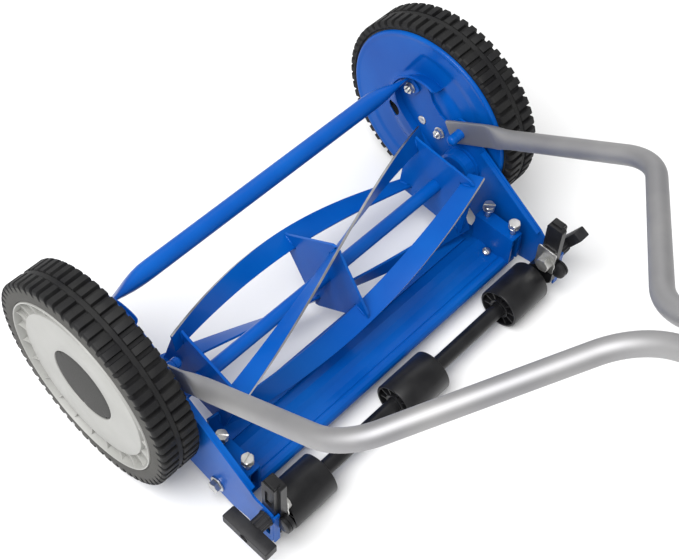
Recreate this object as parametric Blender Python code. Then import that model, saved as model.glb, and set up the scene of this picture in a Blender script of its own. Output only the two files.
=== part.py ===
"""A push reel mower, one object for each piece, in metres.

+Y is forward, +X is the mower's right-hand side seen from behind, +Z is up.
The ground is z = 0. Sizes below are in millimetres in the axle frame, whose
origin is the middle of the wheel axle, and become metres when a mesh is made.
"""
import math

import bmesh
import bpy
from mathutils import Matrix, Vector

MM = 0.001
GAP = 0.3                    # clearance left between pieces that touch

# Whole machine
WHEEL_RADIUS = 127.0         # a 10 inch wheel
AXLE_FORWARD = 418.6         # the axle lies this far ahead of the object's centre

# Wheels
TYRE_IN, TYRE_OUT = 244.4, 288.5
TYRE_BORE = 105.5
DISC_RADIUS = 89.0
CAP_RADIUS = 42.0
RING_TEETH, PINION_TEETH, MODULE = 57, 10, 3.0

# Side plates
PLATE_IN, PLATE_OUT = 231.5, 234.0
FLANGE_DEPTH = 8.0
WALL_IN = 222.0              # free edge of the flange round the front lobe
HOOD_IN = 220.5              # free edge of the cover's hood above the lobe
STUD_YZ = (-60.7, 27.3)
TIE_BOLT_YZ = (19.0, 44.0)
STOP_BOLT_YZ = (-28.0, 0.0)
PIVOT_YZ = (-139.0, -93.0)

# Reel
REEL_ANGLE = 201.4           # degrees, direction from the axle to the reel
REEL_DISTANCE = MODULE * (RING_TEETH - PINION_TEETH) / 2
REEL_Y = REEL_DISTANCE * math.cos(math.radians(REEL_ANGLE))
REEL_Z = REEL_DISTANCE * math.sin(math.radians(REEL_ANGLE))
REEL_RADIUS = 72.0
SHAFT_RADIUS = 8.0
SPIDER_X = 185.0
BLADE_END_X = 199.5
BLADE_WIDTH, BLADE_THICK = 25.0, 3.0
BLADE_TWIST = -51.0 / SPIDER_X    # degrees of turn for each mm along +X
BLADE_LEAN = 15.0            # degrees the strip leans from the radius
BLADE_PHASE = 12.6           # first blade's angle at the middle
BLADES = 4

# Cutter bar
KNIFE_ANGLE = 250.0          # where the bed knife meets the reel's circle
KNIFE_CLEARANCE = 0.6
CUTTER_HALF = 217.5
BRACKET_TOP = -54.0
SCREW_X = 213.0
SCREW_YS = (-125.0, -163.0)
SCREW_HEAD_Z = -35.0

# Rollers
ROLLER_YZ = (-203.0, -101.5)
CLAMP_YZ = (-212.0, -66.0)   # the stud that clamps the roller's blocks to the plates
TRAVEL_UP, TRAVEL_DOWN = 4.0, 30.0
ROLLER_RADIUS = WHEEL_RADIUS + ROLLER_YZ[1]
ROD_RADIUS = 9.0
SPIGOT_RADIUS = 6.0          # the rod's ends, held in the blocks
STUD_RADIUS = 4.0
BLOCK_IN = 217.0
ROLLERS = (("left", -207.0, -147.0), ("middle", -32.0, 32.0), ("right", 147.0, 207.0))

# Handle
HANDLE_RISE = 32.3           # degrees above the horizontal, towards the back
TUBE_RADIUS = 11.0
FLAT_X, FLAT_THICK, FLAT_HEIGHT = 228.0, 4.0, 31.0
LOWER_BEND = (279.0, 226.0)  # along the handle, across it
NECK_BEND = (436.0, 17.5)
LOWER_END = 640.0
BEND_RADIUS = 75.0
UPPER_X = NECK_BEND[1] + 2 * TUBE_RADIUS + 0.6
UPPER_START, UPPER_TOP = 520.0, 1050.0
GRIP_HALF_SPAN = 235.0
GRIP_LENGTH = 122.0
CLAMP_STATIONS = (545.0, 615.0)

SIDES = (("left", -1), ("right", 1))


# ---------------------------------------------------------------- scene helpers

def clear_scene():
    for obj in list(bpy.data.objects):
        bpy.data.objects.remove(obj, do_unlink=True)


def material(name, color, roughness, metallic=0.0):
    mat = bpy.data.materials.new(name)
    mat.use_nodes = True
    shader = mat.node_tree.nodes["Principled BSDF"]
    shader.inputs["Base Color"].default_value = (*color, 1.0)
    shader.inputs["Roughness"].default_value = roughness
    shader.inputs["Metallic"].default_value = metallic
    mat.diffuse_color = (*color, 1.0)
    return mat


def empty(name, yz=(0.0, 0.0), x=0.0, parent=None):
    """A pivot at a place in its parent's frame, given in the axle frame."""
    pivot = bpy.data.objects.new(name, None)
    bpy.context.collection.objects.link(pivot)
    place = Vector((x, *yz)) * MM
    if parent:
        pivot.parent = parent
        place -= Vector(parent["place"])
    pivot.location = place
    pivot["place"] = tuple(Vector((x, *yz)) * MM)
    return pivot


def finish_mesh(bm, name, mat, pivot, smooth_angle=35.0):
    """Turns millimetre geometry in the axle frame into an object on a pivot."""
    bmesh.ops.remove_doubles(bm, verts=bm.verts, dist=0.001)
    bmesh.ops.recalc_face_normals(bm, faces=bm.faces)
    bm.transform(Matrix.Scale(MM, 4))
    bm.transform(Matrix.Translation(-Vector(pivot["place"])))
    mesh = bpy.data.meshes.new(name)
    bm.to_mesh(mesh)
    bm.free()
    mesh.materials.append(mat)
    mesh.shade_smooth()
    mesh.set_sharp_from_angle(angle=math.radians(smooth_angle))
    obj = bpy.data.objects.new(name, mesh)
    bpy.context.collection.objects.link(obj)
    obj.parent = pivot
    return obj


def boolean(obj, tool_bm, kind, name):
    """Adds or cuts a helper shape, which stays hidden."""
    pivot = obj.parent
    tool = finish_mesh(tool_bm, name, obj.data.materials[0], pivot)
    tool.hide_render = True
    tool.display_type = "WIRE"
    mod = obj.modifiers.new(name, "BOOLEAN")
    mod.operation = kind
    mod.object = tool
    return obj


# ---------------------------------------------------------------- shape helpers

def ring(bm, points):
    return [bm.verts.new(p) for p in points]


def bridge(bm, first, second):
    count = len(first)
    for i in range(count):
        j = (i + 1) % count
        bm.faces.new((first[i], first[j], second[j], second[i]))


def turned(profile, yz=(0.0, 0.0), segments=32, closed=False):
    """Turns (x, radius) points about an axis along X. An open profile is capped."""
    bm = bmesh.new()
    rings = []
    for x, radius in profile:
        if radius == 0:
            rings.append([bm.verts.new((x, yz[0], yz[1]))])
            continue
        turn = [2 * math.pi * i / segments for i in range(segments)]
        rings.append(ring(bm, [(x, yz[0] + radius * math.cos(a),
                                yz[1] + radius * math.sin(a)) for a in turn]))
    pairs = list(zip(rings, rings[1:]))
    if closed:
        pairs.append((rings[-1], rings[0]))
    for first, second in pairs:
        if len(first) == 1 or len(second) == 1:
            tip, loop = (first[0], second) if len(first) == 1 else (second[0], first)
            for i in range(len(loop)):
                bm.faces.new((loop[i], loop[(i + 1) % len(loop)], tip))
        else:
            bridge(bm, first, second)
    if not closed:
        for end in (rings[0], rings[-1]):
            if len(end) > 1:
                bm.faces.new(end)
    return bm


def arc(centre, radius, start, end, steps):
    """Points round part of a circle in the YZ plane, angles in degrees."""
    points = []
    for i in range(steps + 1):
        a = math.radians(start + (end - start) * i / steps)
        points.append((centre[0] + radius * math.cos(a), centre[1] + radius * math.sin(a)))
    return points


def circle(centre, radius, steps=16):
    return arc(centre, radius, 0, 360, steps)[:-1]


def slab(outline, x0, x1, holes=()):
    """A flat plate: a YZ outline with holes, between two places along X."""
    bm = bmesh.new()
    edges = []
    for loop in (outline, *holes):
        verts = ring(bm, [(x0, y, z) for y, z in loop])
        edges += [bm.edges.new((verts[i], verts[(i + 1) % len(verts)]))
                  for i in range(len(verts))]
    filled = bmesh.ops.triangle_fill(bm, use_beauty=True, use_dissolve=False, edges=edges)
    faces = [f for f in filled["geom"] if isinstance(f, bmesh.types.BMFace)]
    grown = bmesh.ops.extrude_face_region(bm, geom=faces)["geom"]
    moved = [v for v in grown if isinstance(v, bmesh.types.BMVert)]
    bmesh.ops.translate(bm, verts=moved, vec=(x1 - x0, 0, 0))
    return bm


def box(x, y, z):
    """A box from three (low, high) pairs."""
    bm = bmesh.new()
    bmesh.ops.create_cube(bm, size=1.0)
    for v in bm.verts:
        v.co = Vector(((x[0] + x[1]) / 2 + v.co.x * (x[1] - x[0]),
                       (y[0] + y[1]) / 2 + v.co.y * (y[1] - y[0]),
                       (z[0] + z[1]) / 2 + v.co.z * (z[1] - z[0])))
    return bm


def merged(*parts):
    """Several shapes in one mesh; only for helpers and cutters."""
    whole = bmesh.new()
    for part in parts:
        mesh = bpy.data.meshes.new("merge")
        part.to_mesh(mesh)
        part.free()
        whole.from_mesh(mesh)
        bpy.data.meshes.remove(mesh)
    return whole


def mirrored(profile, side):
    return [(side * x, r) for x, r in profile]


def swept(path, section, caps=True):
    """Sweeps section(i) -> [(across, up)] along path -> [(point, across, up)]."""
    bm = bmesh.new()
    rings = []
    for i, (point, across, up) in enumerate(path):
        rings.append(ring(bm, [point + across * a + up * b for a, b in section(i)]))
    for first, second in zip(rings, rings[1:]):
        bridge(bm, first, second)
    if caps:
        bm.faces.new(rings[0])
        bm.faces.new(rings[-1])
    return bm


def hex_bolt(yz, x_head, x_under, x_tip, across_flats, shank, washer=None):
    """A hexagon head with a shank along X, and a washer face under the head."""
    step = 1 if x_under > x_head else -1
    r_hex = across_flats / 2 / math.cos(math.pi / 6)
    bm = bmesh.new()
    sides = 12
    washer_r, washer_t = washer or (across_flats / 2 + 1.0, 1.0)
    stations = [(x_head, r_hex * 0.9, 6), (x_head + step * 0.9, r_hex, 6),
                (x_under - step * washer_t, r_hex, 6), (x_under - step * washer_t, washer_r, 12),
                (x_under, washer_r, 12), (x_under, shank, 12), (x_tip, shank, 12)]
    rings = []
    for x, radius, corners in stations:
        points = []
        for i in range(sides):
            a = 2 * math.pi * i / sides
            r = radius
            if corners == 6 and i % 2:
                r = radius * math.cos(math.pi / 6)
            points.append((x, yz[0] + r * math.cos(a), yz[1] + r * math.sin(a)))
        rings.append(ring(bm, points))
    for first, second in zip(rings, rings[1:]):
        bridge(bm, first, second)
    bm.faces.new(rings[0])
    bm.faces.new(rings[-1])
    return bm


# ---------------------------------------------------------------- frame pieces

def plate_outline():
    """Side plate outline, from the front lobe round the top to the tail and back."""
    lobe = [(11.0, -13.0), (19.0, -6.5), (27.0, 0.5), (33.0, 8.0), (37.5, 16.0), (40.0, 25.0),
            (40.0, 34.0), (36.0, 45.0), (27.0, 54.0), (13.0, 60.0), (-1.0, 55.0), (-8.0, 46.0)]
    waist = [(-12.0, 39.0), (-25.0, 27.0), (-37.0, 22.0), (-52.0, 42.0), (-68.0, 42.0),
             (-94.0, 19.0)]
    tail = [(-188.0, -44.0), (-194.0, -51.0), (-220.5, -54.0), (-220.5, -111.5),
            (-189.0, -111.5), (-184.0, -108.0)]
    belly = [(-160.0, -112.0), (-97.0, -99.0), (-60.0, -69.0), (-20.0, -37.5)]
    return lobe + waist + tail + belly


def wall_outline(route, thick):
    """A thin wall in the YZ plane along a route, with square ends."""
    sides = ([], [])
    for i, here in enumerate(route):
        before, after = Vector(route[max(i - 1, 0)]), Vector(route[min(i + 1, len(route) - 1)])
        along = (after - before).normalized()
        normal = Vector((-along.y, along.x)) * thick / 2
        sides[0].append(tuple(Vector(here) + normal))
        sides[1].append(tuple(Vector(here) - normal))
    return sides[0] + sides[1][::-1]


def tail_slot():
    """The upright slot that the clamp stud slides in."""
    y, z = CLAMP_YZ
    r = STUD_RADIUS + 0.5
    return arc((y, z + TRAVEL_UP), r, 0, 180, 6) + arc((y, z - TRAVEL_DOWN), r, 180, 360, 6)


def side_plate(name, side, mat, root):
    reel = (REEL_Y, REEL_Z)
    holes = [circle(reel, 9.5, 20), circle(TIE_BOLT_YZ, 3.4, 10),
             circle(STOP_BOLT_YZ, 3.4, 10), circle(PIVOT_YZ, 4.4, 12),
             circle((0, 0), 6.4, 12), tail_slot()]
    bm = slab(plate_outline(), side * PLATE_IN, side * PLATE_OUT, holes)
    plate = finish_mesh(bm, name, mat, root)
    start, end = Vector((-96.0, 16.0)), Vector((-187.0, -45.0))
    along = (end - start).normalized()
    down = Vector((along.y, -along.x))
    if down.y > 0:
        down = -down
    thick = PLATE_OUT - PLATE_IN
    corners = [start + along * 1.0, end, end + down * thick, start + along * 1.0 + down * thick]
    lip = slab([tuple(c) for c in corners], side * (PLATE_IN + 0.5),
               side * (PLATE_OUT - FLANGE_DEPTH))
    boolean(plate, lip, "UNION", name + "_lip")
    route = [(-30.0, -44.3), (-20.0, -36.2), (11.0, -11.5), (19.0, -5.0), (26.5, 2.0),
             (32.0, 9.0), (36.5, 17.0), (38.8, 25.0), (39.0, 32.0)]
    wall = slab(wall_outline(route, thick), side * WALL_IN, side * (PLATE_OUT - 0.4))
    return boolean(plate, wall, "UNION", name + "_wall")


def tie_rod(mat, root):
    """The front spreader: a tube whose flattened feet turn down onto the plates."""
    axis_yz = Vector((0.0, 31.0, 52.0))
    foot_yz = Vector((0.0, *TIE_BOLT_YZ))
    toward = (foot_yz - axis_yz).normalized()
    beside = Vector((0, -toward.z, toward.y))
    x_foot = PLATE_IN - GAP - 1.6
    path, sizes = [], []

    def station(x, shift, half_across, half_up, across):
        path.append((axis_yz + Vector((x, 0, 0)) + toward * shift, across, beside))
        sizes.append((half_across, half_up))

    for side in (-1, 1):
        stations = [(x_foot, 24.0, 1.5, 7.5, "x"), (x_foot, 8.5, 1.5, 10.5, "x"),
                    (x_foot - 1.2, 4.6, 1.8, 11.5, "d"), (x_foot - 8.0, 3.6, 1.8, 12.5, "t"),
                    (x_foot - 17.0, 2.8, 3.0, 13.0, "t"), (x_foot - 32.0, 1.5, 7.0, 12.2, "t"),
                    (x_foot - 50.0, 0.2, 9.8, 11.0, "t"), (x_foot - 66.0, 0.0, 10.5, 10.5, "t")]
        if side > 0:
            stations.reverse()
        for x, shift, half_across, half_up, kind in stations:
            across = {"x": Vector((side, 0, 0)), "t": toward * -1,
                      "d": (Vector((side, 0, 0)) - toward).normalized()}[kind]
            station(side * x, shift, half_across, half_up, across)

    def section(i):
        a, b = sizes[i]
        return [(a * math.cos(t), b * math.sin(t))
                for t in [2 * math.pi * k / 12 for k in range(12)]]

    bm = swept(path, section)
    rod = finish_mesh(bm, "tie_rod", mat, root)
    holes = [turned([(side * (x_foot - 8), 3.4), (side * (x_foot + 8), 3.4)], TIE_BOLT_YZ, 10)
             for side in (-1, 1)]
    return boolean(rod, merged(*holes), "DIFFERENCE", "tie_rod_holes")


def wheel_cover(name, side, mat, root):
    """A dished sheet disc fixed to the plate's outer face, close to the tyre."""
    inner = PLATE_OUT + GAP
    profile = [(inner, 8.0), (inner, 50.0), (inner + 4.6, 64.0), (inner + 4.6, 112.0),
               (inner + 6.6, 115.0), (inner + 7.8, 114.0), (inner + 6.0, 110.0),
               (inner + 6.0, 63.0), (inner + 1.4, 49.0), (inner + 1.4, 8.0)]
    bm = turned(mirrored(profile, side), segments=40, closed=True)
    cover = finish_mesh(bm, name, mat, root)
    span = sorted((side * (inner - 4), side * (inner + 12)))
    holes = [turned([(span[0], 9.5), (span[1], 9.5)], (REEL_Y, REEL_Z), 20),
             turned([(span[0], 10.0), (span[1], 10.0)], (50.0, -20.0), 16)]
    route = [(33.0, 57.5), (27.5, 62.5), (19.5, 67.5), (10.0, 69.5), (0.0, 69.0), (-12.0, 68.5),
             (-24.0, 67.0), (-30.0, 63.5)]
    hood = slab(wall_outline(route, 1.8), side * HOOD_IN, side * (inner + 5.2))
    boolean(cover, hood, "UNION", name + "_hood")
    return boolean(cover, merged(*holes), "DIFFERENCE", name + "_holes")


def axle(name, side, mat, root):
    """The wheel's fixed axle: inner head, plate shank, journal and outer washer."""
    profile = [(222.0, 5.0), (223.0, 6.0), (PLATE_OUT + 2.6, 6.0),
               (PLATE_OUT + 2.6, 9.0), (PLATE_OUT + 6.0, 9.0), (PLATE_OUT + 6.0, 6.6),
               (279.4, 6.6), (279.4, 11.0), (281.4, 11.0), (281.4, 4.0), (283.0, 4.0)]
    return finish_mesh(turned(mirrored(profile, side), segments=12), name, mat, root)


def bearing_housing(name, side, mat, root):
    x0, x1 = PLATE_IN - 15.5, PLATE_IN - GAP
    profile = [(x0, SHAFT_RADIUS + 0.4), (x0, 19.0), (x0 + 2.0, 22.0), (x1 - 2.5, 23.5),
               (x1 - 2.5, 27.5), (x1, 27.5), (x1, SHAFT_RADIUS + 0.4)]
    bm = turned(mirrored(profile, side), (REEL_Y, REEL_Z), 20, closed=True)
    return finish_mesh(bm, name, mat, root)


def handle_stud(name, side, mat, root):
    profile = [(206.0, 4.8), (207.2, 6.2), (FLAT_X - 3.6, 6.2), (PLATE_IN - GAP, 6.2)]
    return finish_mesh(turned(mirrored(profile, side), STUD_YZ, 16), name, mat, root)


def tie_bolt(name, side, mat, root):
    inner = PLATE_IN - GAP - 3.8
    bm = hex_bolt(TIE_BOLT_YZ, side * (inner - 6.5), side * inner, side * (PLATE_OUT + 0.1),
                  11.0, 3.0, (7.0, 1.2))
    return finish_mesh(bm, name, mat, root)


def stop_bolt(name, side, mat, root):
    inner = PLATE_IN - GAP
    bm = hex_bolt(STOP_BOLT_YZ, side * (inner - 7.0), side * inner, side * (PLATE_OUT + 0.1),
                  11.0, 3.0, (7.5, 1.2))
    return finish_mesh(bm, name, mat, root)


# ---------------------------------------------------------------- cutter bar

def knife_edge():
    a = math.radians(KNIFE_ANGLE)
    r = REEL_RADIUS + KNIFE_CLEARANCE
    return REEL_Y + r * math.cos(a), REEL_Z + r * math.sin(a)


def cutter_section():
    """The bar's bent sheet in the YZ plane, ending in a rolled lip at the back."""
    y, z = knife_edge()
    top = [(y + 4.0, z - 6.2), (y - 22.0, z - 3.0), (y - 34.0, z + 1.5), (y - 44.0, z + 1.0),
           (y - 50.0, z - 3.0), (y - 58.0, z - 4.0)]
    lip = arc((y - 71.5, z - 7.5), 7.5, 35, 270, 8)
    under = [(y - 60.0, z - 12.0), (y - 51.0, z - 6.2), (y - 44.0, z - 2.2),
             (y - 34.0, z - 1.8), (y - 22.0, z - 6.2), (y + 4.0, z - 9.4)]
    return top + lip + under


def cutter_end(side):
    """Bracket at each end: it stands up by the plate and carries the screws."""
    y, z = knife_edge()
    wall = slab([(-115.0, BRACKET_TOP), (-171.0, BRACKET_TOP), (-172.0, z - 2.0),
                 (-160.0, z - 11.0), (-148.0, z - 11.0), (-138.0, z - 4.0), (y - 22.0, z - 6.5),
                 (y - 12.0, z - 5.0)], side * (CUTTER_HALF - 0.5), side * (CUTTER_HALF + 3.0))
    shelf = box(sorted((side * 203.0, side * (CUTTER_HALF + 3.0))), (-171.0, -115.0),
                (BRACKET_TOP - 3.0, BRACKET_TOP))
    inner = box(sorted((side * 203.0, side * 206.0)), (-171.0, -115.0), (z - 4.0, BRACKET_TOP))
    return wall, shelf, inner


def cutter_bar(mat, pivot):
    bar = finish_mesh(slab(cutter_section(), -CUTTER_HALF, CUTTER_HALF), "cutter_bar", mat, pivot)
    for place, side in SIDES:
        for number, piece in enumerate(cutter_end(side)):
            boolean(bar, piece, "UNION", "cutter_%s_%d" % (place, number))
    holes = []
    for _, side in SIDES:
        for y in SCREW_YS:
            hole = turned([(-5.0, 3.5), (5.0, 3.5)], (0, 0), 12)
            hole.transform(Matrix.Rotation(math.pi / 2, 4, "Y"))
            hole.transform(Matrix.Translation((side * SCREW_X, y, BRACKET_TOP - 1.5)))
            holes.append(hole)
        wall_hole = [(side * (CUTTER_HALF + 0.2), 4.4), (side * (CUTTER_HALF + 5), 4.4)]
        holes.append(turned(wall_hole, PIVOT_YZ, 12))
    return boolean(bar, merged(*holes), "DIFFERENCE", "cutter_holes")


def bed_knife(mat, pivot):
    """The hardened strip whose front edge meets the reel."""
    y, z = knife_edge()
    section = [(y, z), (y + 0.4, z - 1.6), (y + 9.0, z - 6.6), (y + 8.4, z - 9.6),
               (y + 4.6, z - 9.6), (y + 4.2, z - 5.9), (y - 21.0, z - 2.7), (y - 21.0, z - 0.4)]
    return finish_mesh(slab(section, -CUTTER_HALF + 24, CUTTER_HALF - 24), "bed_knife", mat, pivot)


def adjusting_screw(name, side, y, mat, pivot):
    """A hexagon screw standing in the bracket's shelf."""
    bm = hex_bolt((0.0, 0.0), 0.0, -7.5, -38.0, 13.0, 3.1, (6.8, 0.8))
    bm.transform(Matrix.Rotation(-math.pi / 2, 4, "Y"))
    bm.transform(Matrix.Translation((side * SCREW_X, y, SCREW_HEAD_Z)))
    return finish_mesh(bm, name, mat, pivot)


def pivot_bolt(name, side, mat, root):
    bm = hex_bolt(PIVOT_YZ, side * (PLATE_OUT + 8.3), side * (PLATE_OUT + GAP),
                  side * (CUTTER_HALF + 0.5), 13.0, 4.0, (9.5, 1.6))
    return finish_mesh(bm, name, mat, root)


# ---------------------------------------------------------------- wheels

def tyre(name, side, mat, pivot):
    profile = [(TYRE_IN, TYRE_BORE), (TYRE_IN, 120.0), (TYRE_IN + 2.0, WHEEL_RADIUS),
               (TYRE_OUT - 1.0, WHEEL_RADIUS), (TYRE_OUT, 126.0), (TYRE_OUT, TYRE_BORE)]
    bm = turned(mirrored(profile, side), segments=48, closed=True)
    return finish_mesh(bm, name, mat, pivot)


def ring_gear(side):
    """Internal teeth moulded inside the wheel."""
    pitch_r = MODULE * RING_TEETH / 2
    inner = []
    step = 2 * math.pi / RING_TEETH
    for i in range(RING_TEETH):
        for share, radius in ((-0.36, pitch_r + 3.3), (-0.12, pitch_r - 2.3),
                              (0.12, pitch_r - 2.3), (0.36, pitch_r + 3.3)):
            a = (i + 0.5 + share) * step
            inner.append((radius * math.cos(a), radius * math.sin(a)))
    outer = circle((0.0, 0.0), 93.5, RING_TEETH)
    return slab(outer, side * 250.0, side * 264.0, [inner])


def wheel(name, side, mat, pivot):
    """A moulded disc wheel: hub sleeve, web, finned outer face and rim band."""
    rim = TYRE_BORE - GAP
    profile = [(243.6, 7.0), (243.6, 14.0), (270.0, 18.0), (272.0, 92.4),
               (246.0, 92.4), (246.0, rim), (289.6, rim), (289.6, rim - 1.8), (279.0, rim - 2.4),
               (279.0, DISC_RADIUS + 1.0), (286.0, DISC_RADIUS), (286.0, CAP_RADIUS + 0.6),
               (277.5, CAP_RADIUS + 0.6), (277.5, 7.0)]
    bm = turned(mirrored(profile, side), segments=40, closed=True)
    body = finish_mesh(bm, name, mat, pivot)
    return boolean(body, ring_gear(side), "UNION", name + "_gear")


def hub_cap(name, side, mat, pivot):
    profile = [(285.0, 0.0), (285.0, 14.0), (284.2, 38.0), (284.6, CAP_RADIUS),
               (278.0, CAP_RADIUS), (278.0, 36.0), (282.0, 36.0), (283.6, 14.0), (283.6, 0.0)]
    bm = turned(mirrored(profile, side), segments=24)
    return finish_mesh(bm, name, mat, pivot)


# ---------------------------------------------------------------- reel

def blade_path(index):
    """Stations along one helical blade: centre, across the strip, through it."""
    path = []
    steps = 20
    mid_r = REEL_RADIUS - BLADE_WIDTH / 2 * math.cos(math.radians(BLADE_LEAN))
    for i in range(steps + 1):
        x = -BLADE_END_X + 2 * BLADE_END_X * i / steps
        a = math.radians(BLADE_PHASE + 360.0 / BLADES * index + BLADE_TWIST * x)
        lean = a + math.radians(BLADE_LEAN)
        radial = Vector((0, math.cos(a), math.sin(a)))
        across = Vector((0, math.cos(lean), math.sin(lean)))
        through = Vector((0, -math.sin(lean), math.cos(lean)))
        path.append((Vector((x, REEL_Y, REEL_Z)) + radial * (mid_r - 0.5), across, through))
    return path


def blade(index, mat, pivot):
    w, t = BLADE_WIDTH / 2, BLADE_THICK / 2
    bm = swept(blade_path(index), lambda i: [(-w, -t), (w, -t), (w, t), (-w, t)])
    return finish_mesh(bm, "blade_%d" % (index + 1), mat, pivot, 20.0)


def spider(name, x, mat, pivot):
    """A square plate on the shaft, with a slot at each corner for its blade."""
    phase = BLADE_PHASE + BLADE_TWIST * x
    outline = []
    corner_r, slot_r, slot_half = 68.0, 45.5, 2.6
    for k in range(BLADES):
        a = math.radians(phase + 360.0 / BLADES * k)
        lean = a + math.radians(BLADE_LEAN)
        radial = Vector((math.cos(a), math.sin(a)))
        across = Vector((math.cos(lean), math.sin(lean)))
        through = Vector((-math.sin(lean), math.cos(lean)))
        mid_r = REEL_RADIUS - BLADE_WIDTH / 2 * math.cos(math.radians(BLADE_LEAN)) - 0.5
        centre = radial * mid_r
        outer, inner = BLADE_WIDTH / 2 - 5.0, -BLADE_WIDTH / 2 - 1.2
        for along, offset in ((outer - 4.0, -slot_half - 5.0), (outer, -slot_half),
                              (inner, -slot_half), (inner, slot_half),
                              (outer, slot_half), (outer - 4.0, slot_half + 5.0)):
            p = centre + across * along + through * offset
            outline.append((REEL_Y + p.x, REEL_Z + p.y))
    hole = circle((REEL_Y, REEL_Z), SHAFT_RADIUS + GAP, 20)
    return finish_mesh(slab(outline, x - 1.5, x + 1.5, [hole]), name, mat, pivot)


def reel_shaft(mat, pivot):
    end = 249.0
    r = SHAFT_RADIUS
    profile = [(-end, r - 1), (-end + 1, r), (end - 1, r), (end, r - 1)]
    return finish_mesh(turned(profile, (REEL_Y, REEL_Z), 24), "reel_shaft", mat, pivot)


def pinion(name, side, mat, pivot):
    """The small gear in the wheel, hollow for its pawl."""
    pitch_r = MODULE * PINION_TEETH / 2
    outline = []
    step = 2 * math.pi / PINION_TEETH
    mesh_angle = math.radians(REEL_ANGLE)
    for i in range(PINION_TEETH):
        for share, radius in ((-0.30, pitch_r - 3.4), (-0.22, pitch_r), (-0.09, pitch_r + 2.3),
                              (0.09, pitch_r + 2.3), (0.22, pitch_r), (0.30, pitch_r - 3.4)):
            a = mesh_angle + pinion_phase() + (i + share) * step
            outline.append((REEL_Y + radius * math.cos(a), REEL_Z + radius * math.sin(a)))
    bore = circle((REEL_Y, REEL_Z), 6.5, 16)
    return finish_mesh(slab(outline, side * 250.5, side * 263.5, [bore]), name, mat, pivot)


def pinion_phase():
    """Turns the pinion so that a tooth stands in a ring gear gap at rest."""
    ring_step = 360.0 / RING_TEETH
    gap_centre = round(REEL_ANGLE / ring_step) * ring_step
    return math.radians((gap_centre - REEL_ANGLE) * RING_TEETH / PINION_TEETH)


def pawl(name, side, mat, pivot):
    """A sliding key across the shaft end that drives the pinion one way."""
    bm = box(sorted((side * 251.0, side * 263.0)), (REEL_Y - 5.6, REEL_Y + 5.6),
             (REEL_Z - 2.4, REEL_Z + 2.4))
    return finish_mesh(bm, name, mat, pivot)


# ---------------------------------------------------------------- rollers

def roller(name, x0, x1, mat, pivot):
    """A moulded roller, hollow at both ends around a sleeve."""
    r, bore = ROLLER_RADIUS, ROD_RADIUS + 0.4
    deep = 12.0
    profile = [(x0 + 1.0, bore), (x0 + deep, bore + 3.0), (x0 + deep, r - 3.0), (x0, r - 2.5),
               (x0 + 0.8, r), (x1 - 0.8, r), (x1, r - 2.5), (x1 - deep, r - 3.0),
               (x1 - deep, bore + 3.0), (x1 - 1.0, bore)]
    return finish_mesh(turned(profile, ROLLER_YZ, 24, closed=True), name, mat, pivot)


def roller_rod(mat, pivot):
    """One rod through the rollers, its thinner ends held in the two blocks."""
    half, tip, r = 216.0, 229.0, SPIGOT_RADIUS
    profile = [(-tip, r - 1), (-tip + 1, r), (-half, r), (-half, ROD_RADIUS),
               (half, ROD_RADIUS), (half, r), (tip - 1, r), (tip, r - 1)]
    return finish_mesh(turned(profile, ROLLER_YZ, 20), "roller_rod", mat, pivot)


def clamp_stud(name, side, mat, pivot):
    """A hexagon screw through block and tail slot into the knob."""
    bm = hex_bolt(CLAMP_YZ, side * 206.5, side * (BLOCK_IN - GAP), side * 258.0, 17.0, STUD_RADIUS,
                  (13.0, 1.8))
    return finish_mesh(bm, name, mat, pivot)


def guide_block(name, side, mat, pivot):
    """The moulded block that carries the rod's end and slides on the plate's tail."""
    y, z = ROLLER_YZ
    front, back, top = CLAMP_YZ[0] + 9.5, CLAMP_YZ[0] - 11.5, -3.0
    outline = arc((y, z), 14.0, 200, 370, 7) + [
        (y + 13.0, z + 8.0), (front, z + 22.0), (front, top - 2.0), (front - 2.0, top),
        (back + 2.0, top), (back, top - 2.0), (back, z + 4.0)]
    holes = [circle(ROLLER_YZ, SPIGOT_RADIUS + GAP, 16), circle(CLAMP_YZ, STUD_RADIUS + GAP, 12)]
    bm = slab(outline, side * BLOCK_IN, side * (PLATE_IN - GAP), holes)
    return finish_mesh(bm, name, mat, pivot)


def clamp_knob(name, side, tilt, mat, pivot):
    """A T-bar knob, bored for the stud, that clamps the block to the plate."""
    inner, outer = PLATE_OUT + 16.0, PLATE_OUT + 32.0
    bar = box(sorted((side * inner, side * outer)), (-31.0, 31.0), (-6.5, 6.5))
    bmesh.ops.bevel(bar, geom=bar.edges, offset=2.5, segments=1, affect="EDGES")
    bar.transform(Matrix.Rotation(math.radians(tilt), 4, "X"))
    bar.transform(Matrix.Translation((0, *CLAMP_YZ)))
    knob = finish_mesh(bar, name, mat, pivot)
    stem = [(PLATE_OUT + GAP, 9.0), (inner + 3.0, 8.0)]
    boolean(knob, turned(mirrored(stem, side), CLAMP_YZ, 16), "UNION", name + "_stem")
    bore = [(PLATE_OUT - 2.0, STUD_RADIUS + GAP), (outer - 6.0, STUD_RADIUS + GAP)]
    return boolean(knob, turned(mirrored(bore, side), CLAMP_YZ, 12), "DIFFERENCE", name + "_bore")


# ---------------------------------------------------------------- handle

def handle_frame():
    """Unit vectors along the handle and square to its plane."""
    a = math.radians(HANDLE_RISE)
    return Vector((0, -math.cos(a), math.sin(a))), Vector((0, math.sin(a), math.cos(a)))


def handle_point(along, x):
    axis, _ = handle_frame()
    return Vector((x, *STUD_YZ)) + axis * along


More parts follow.
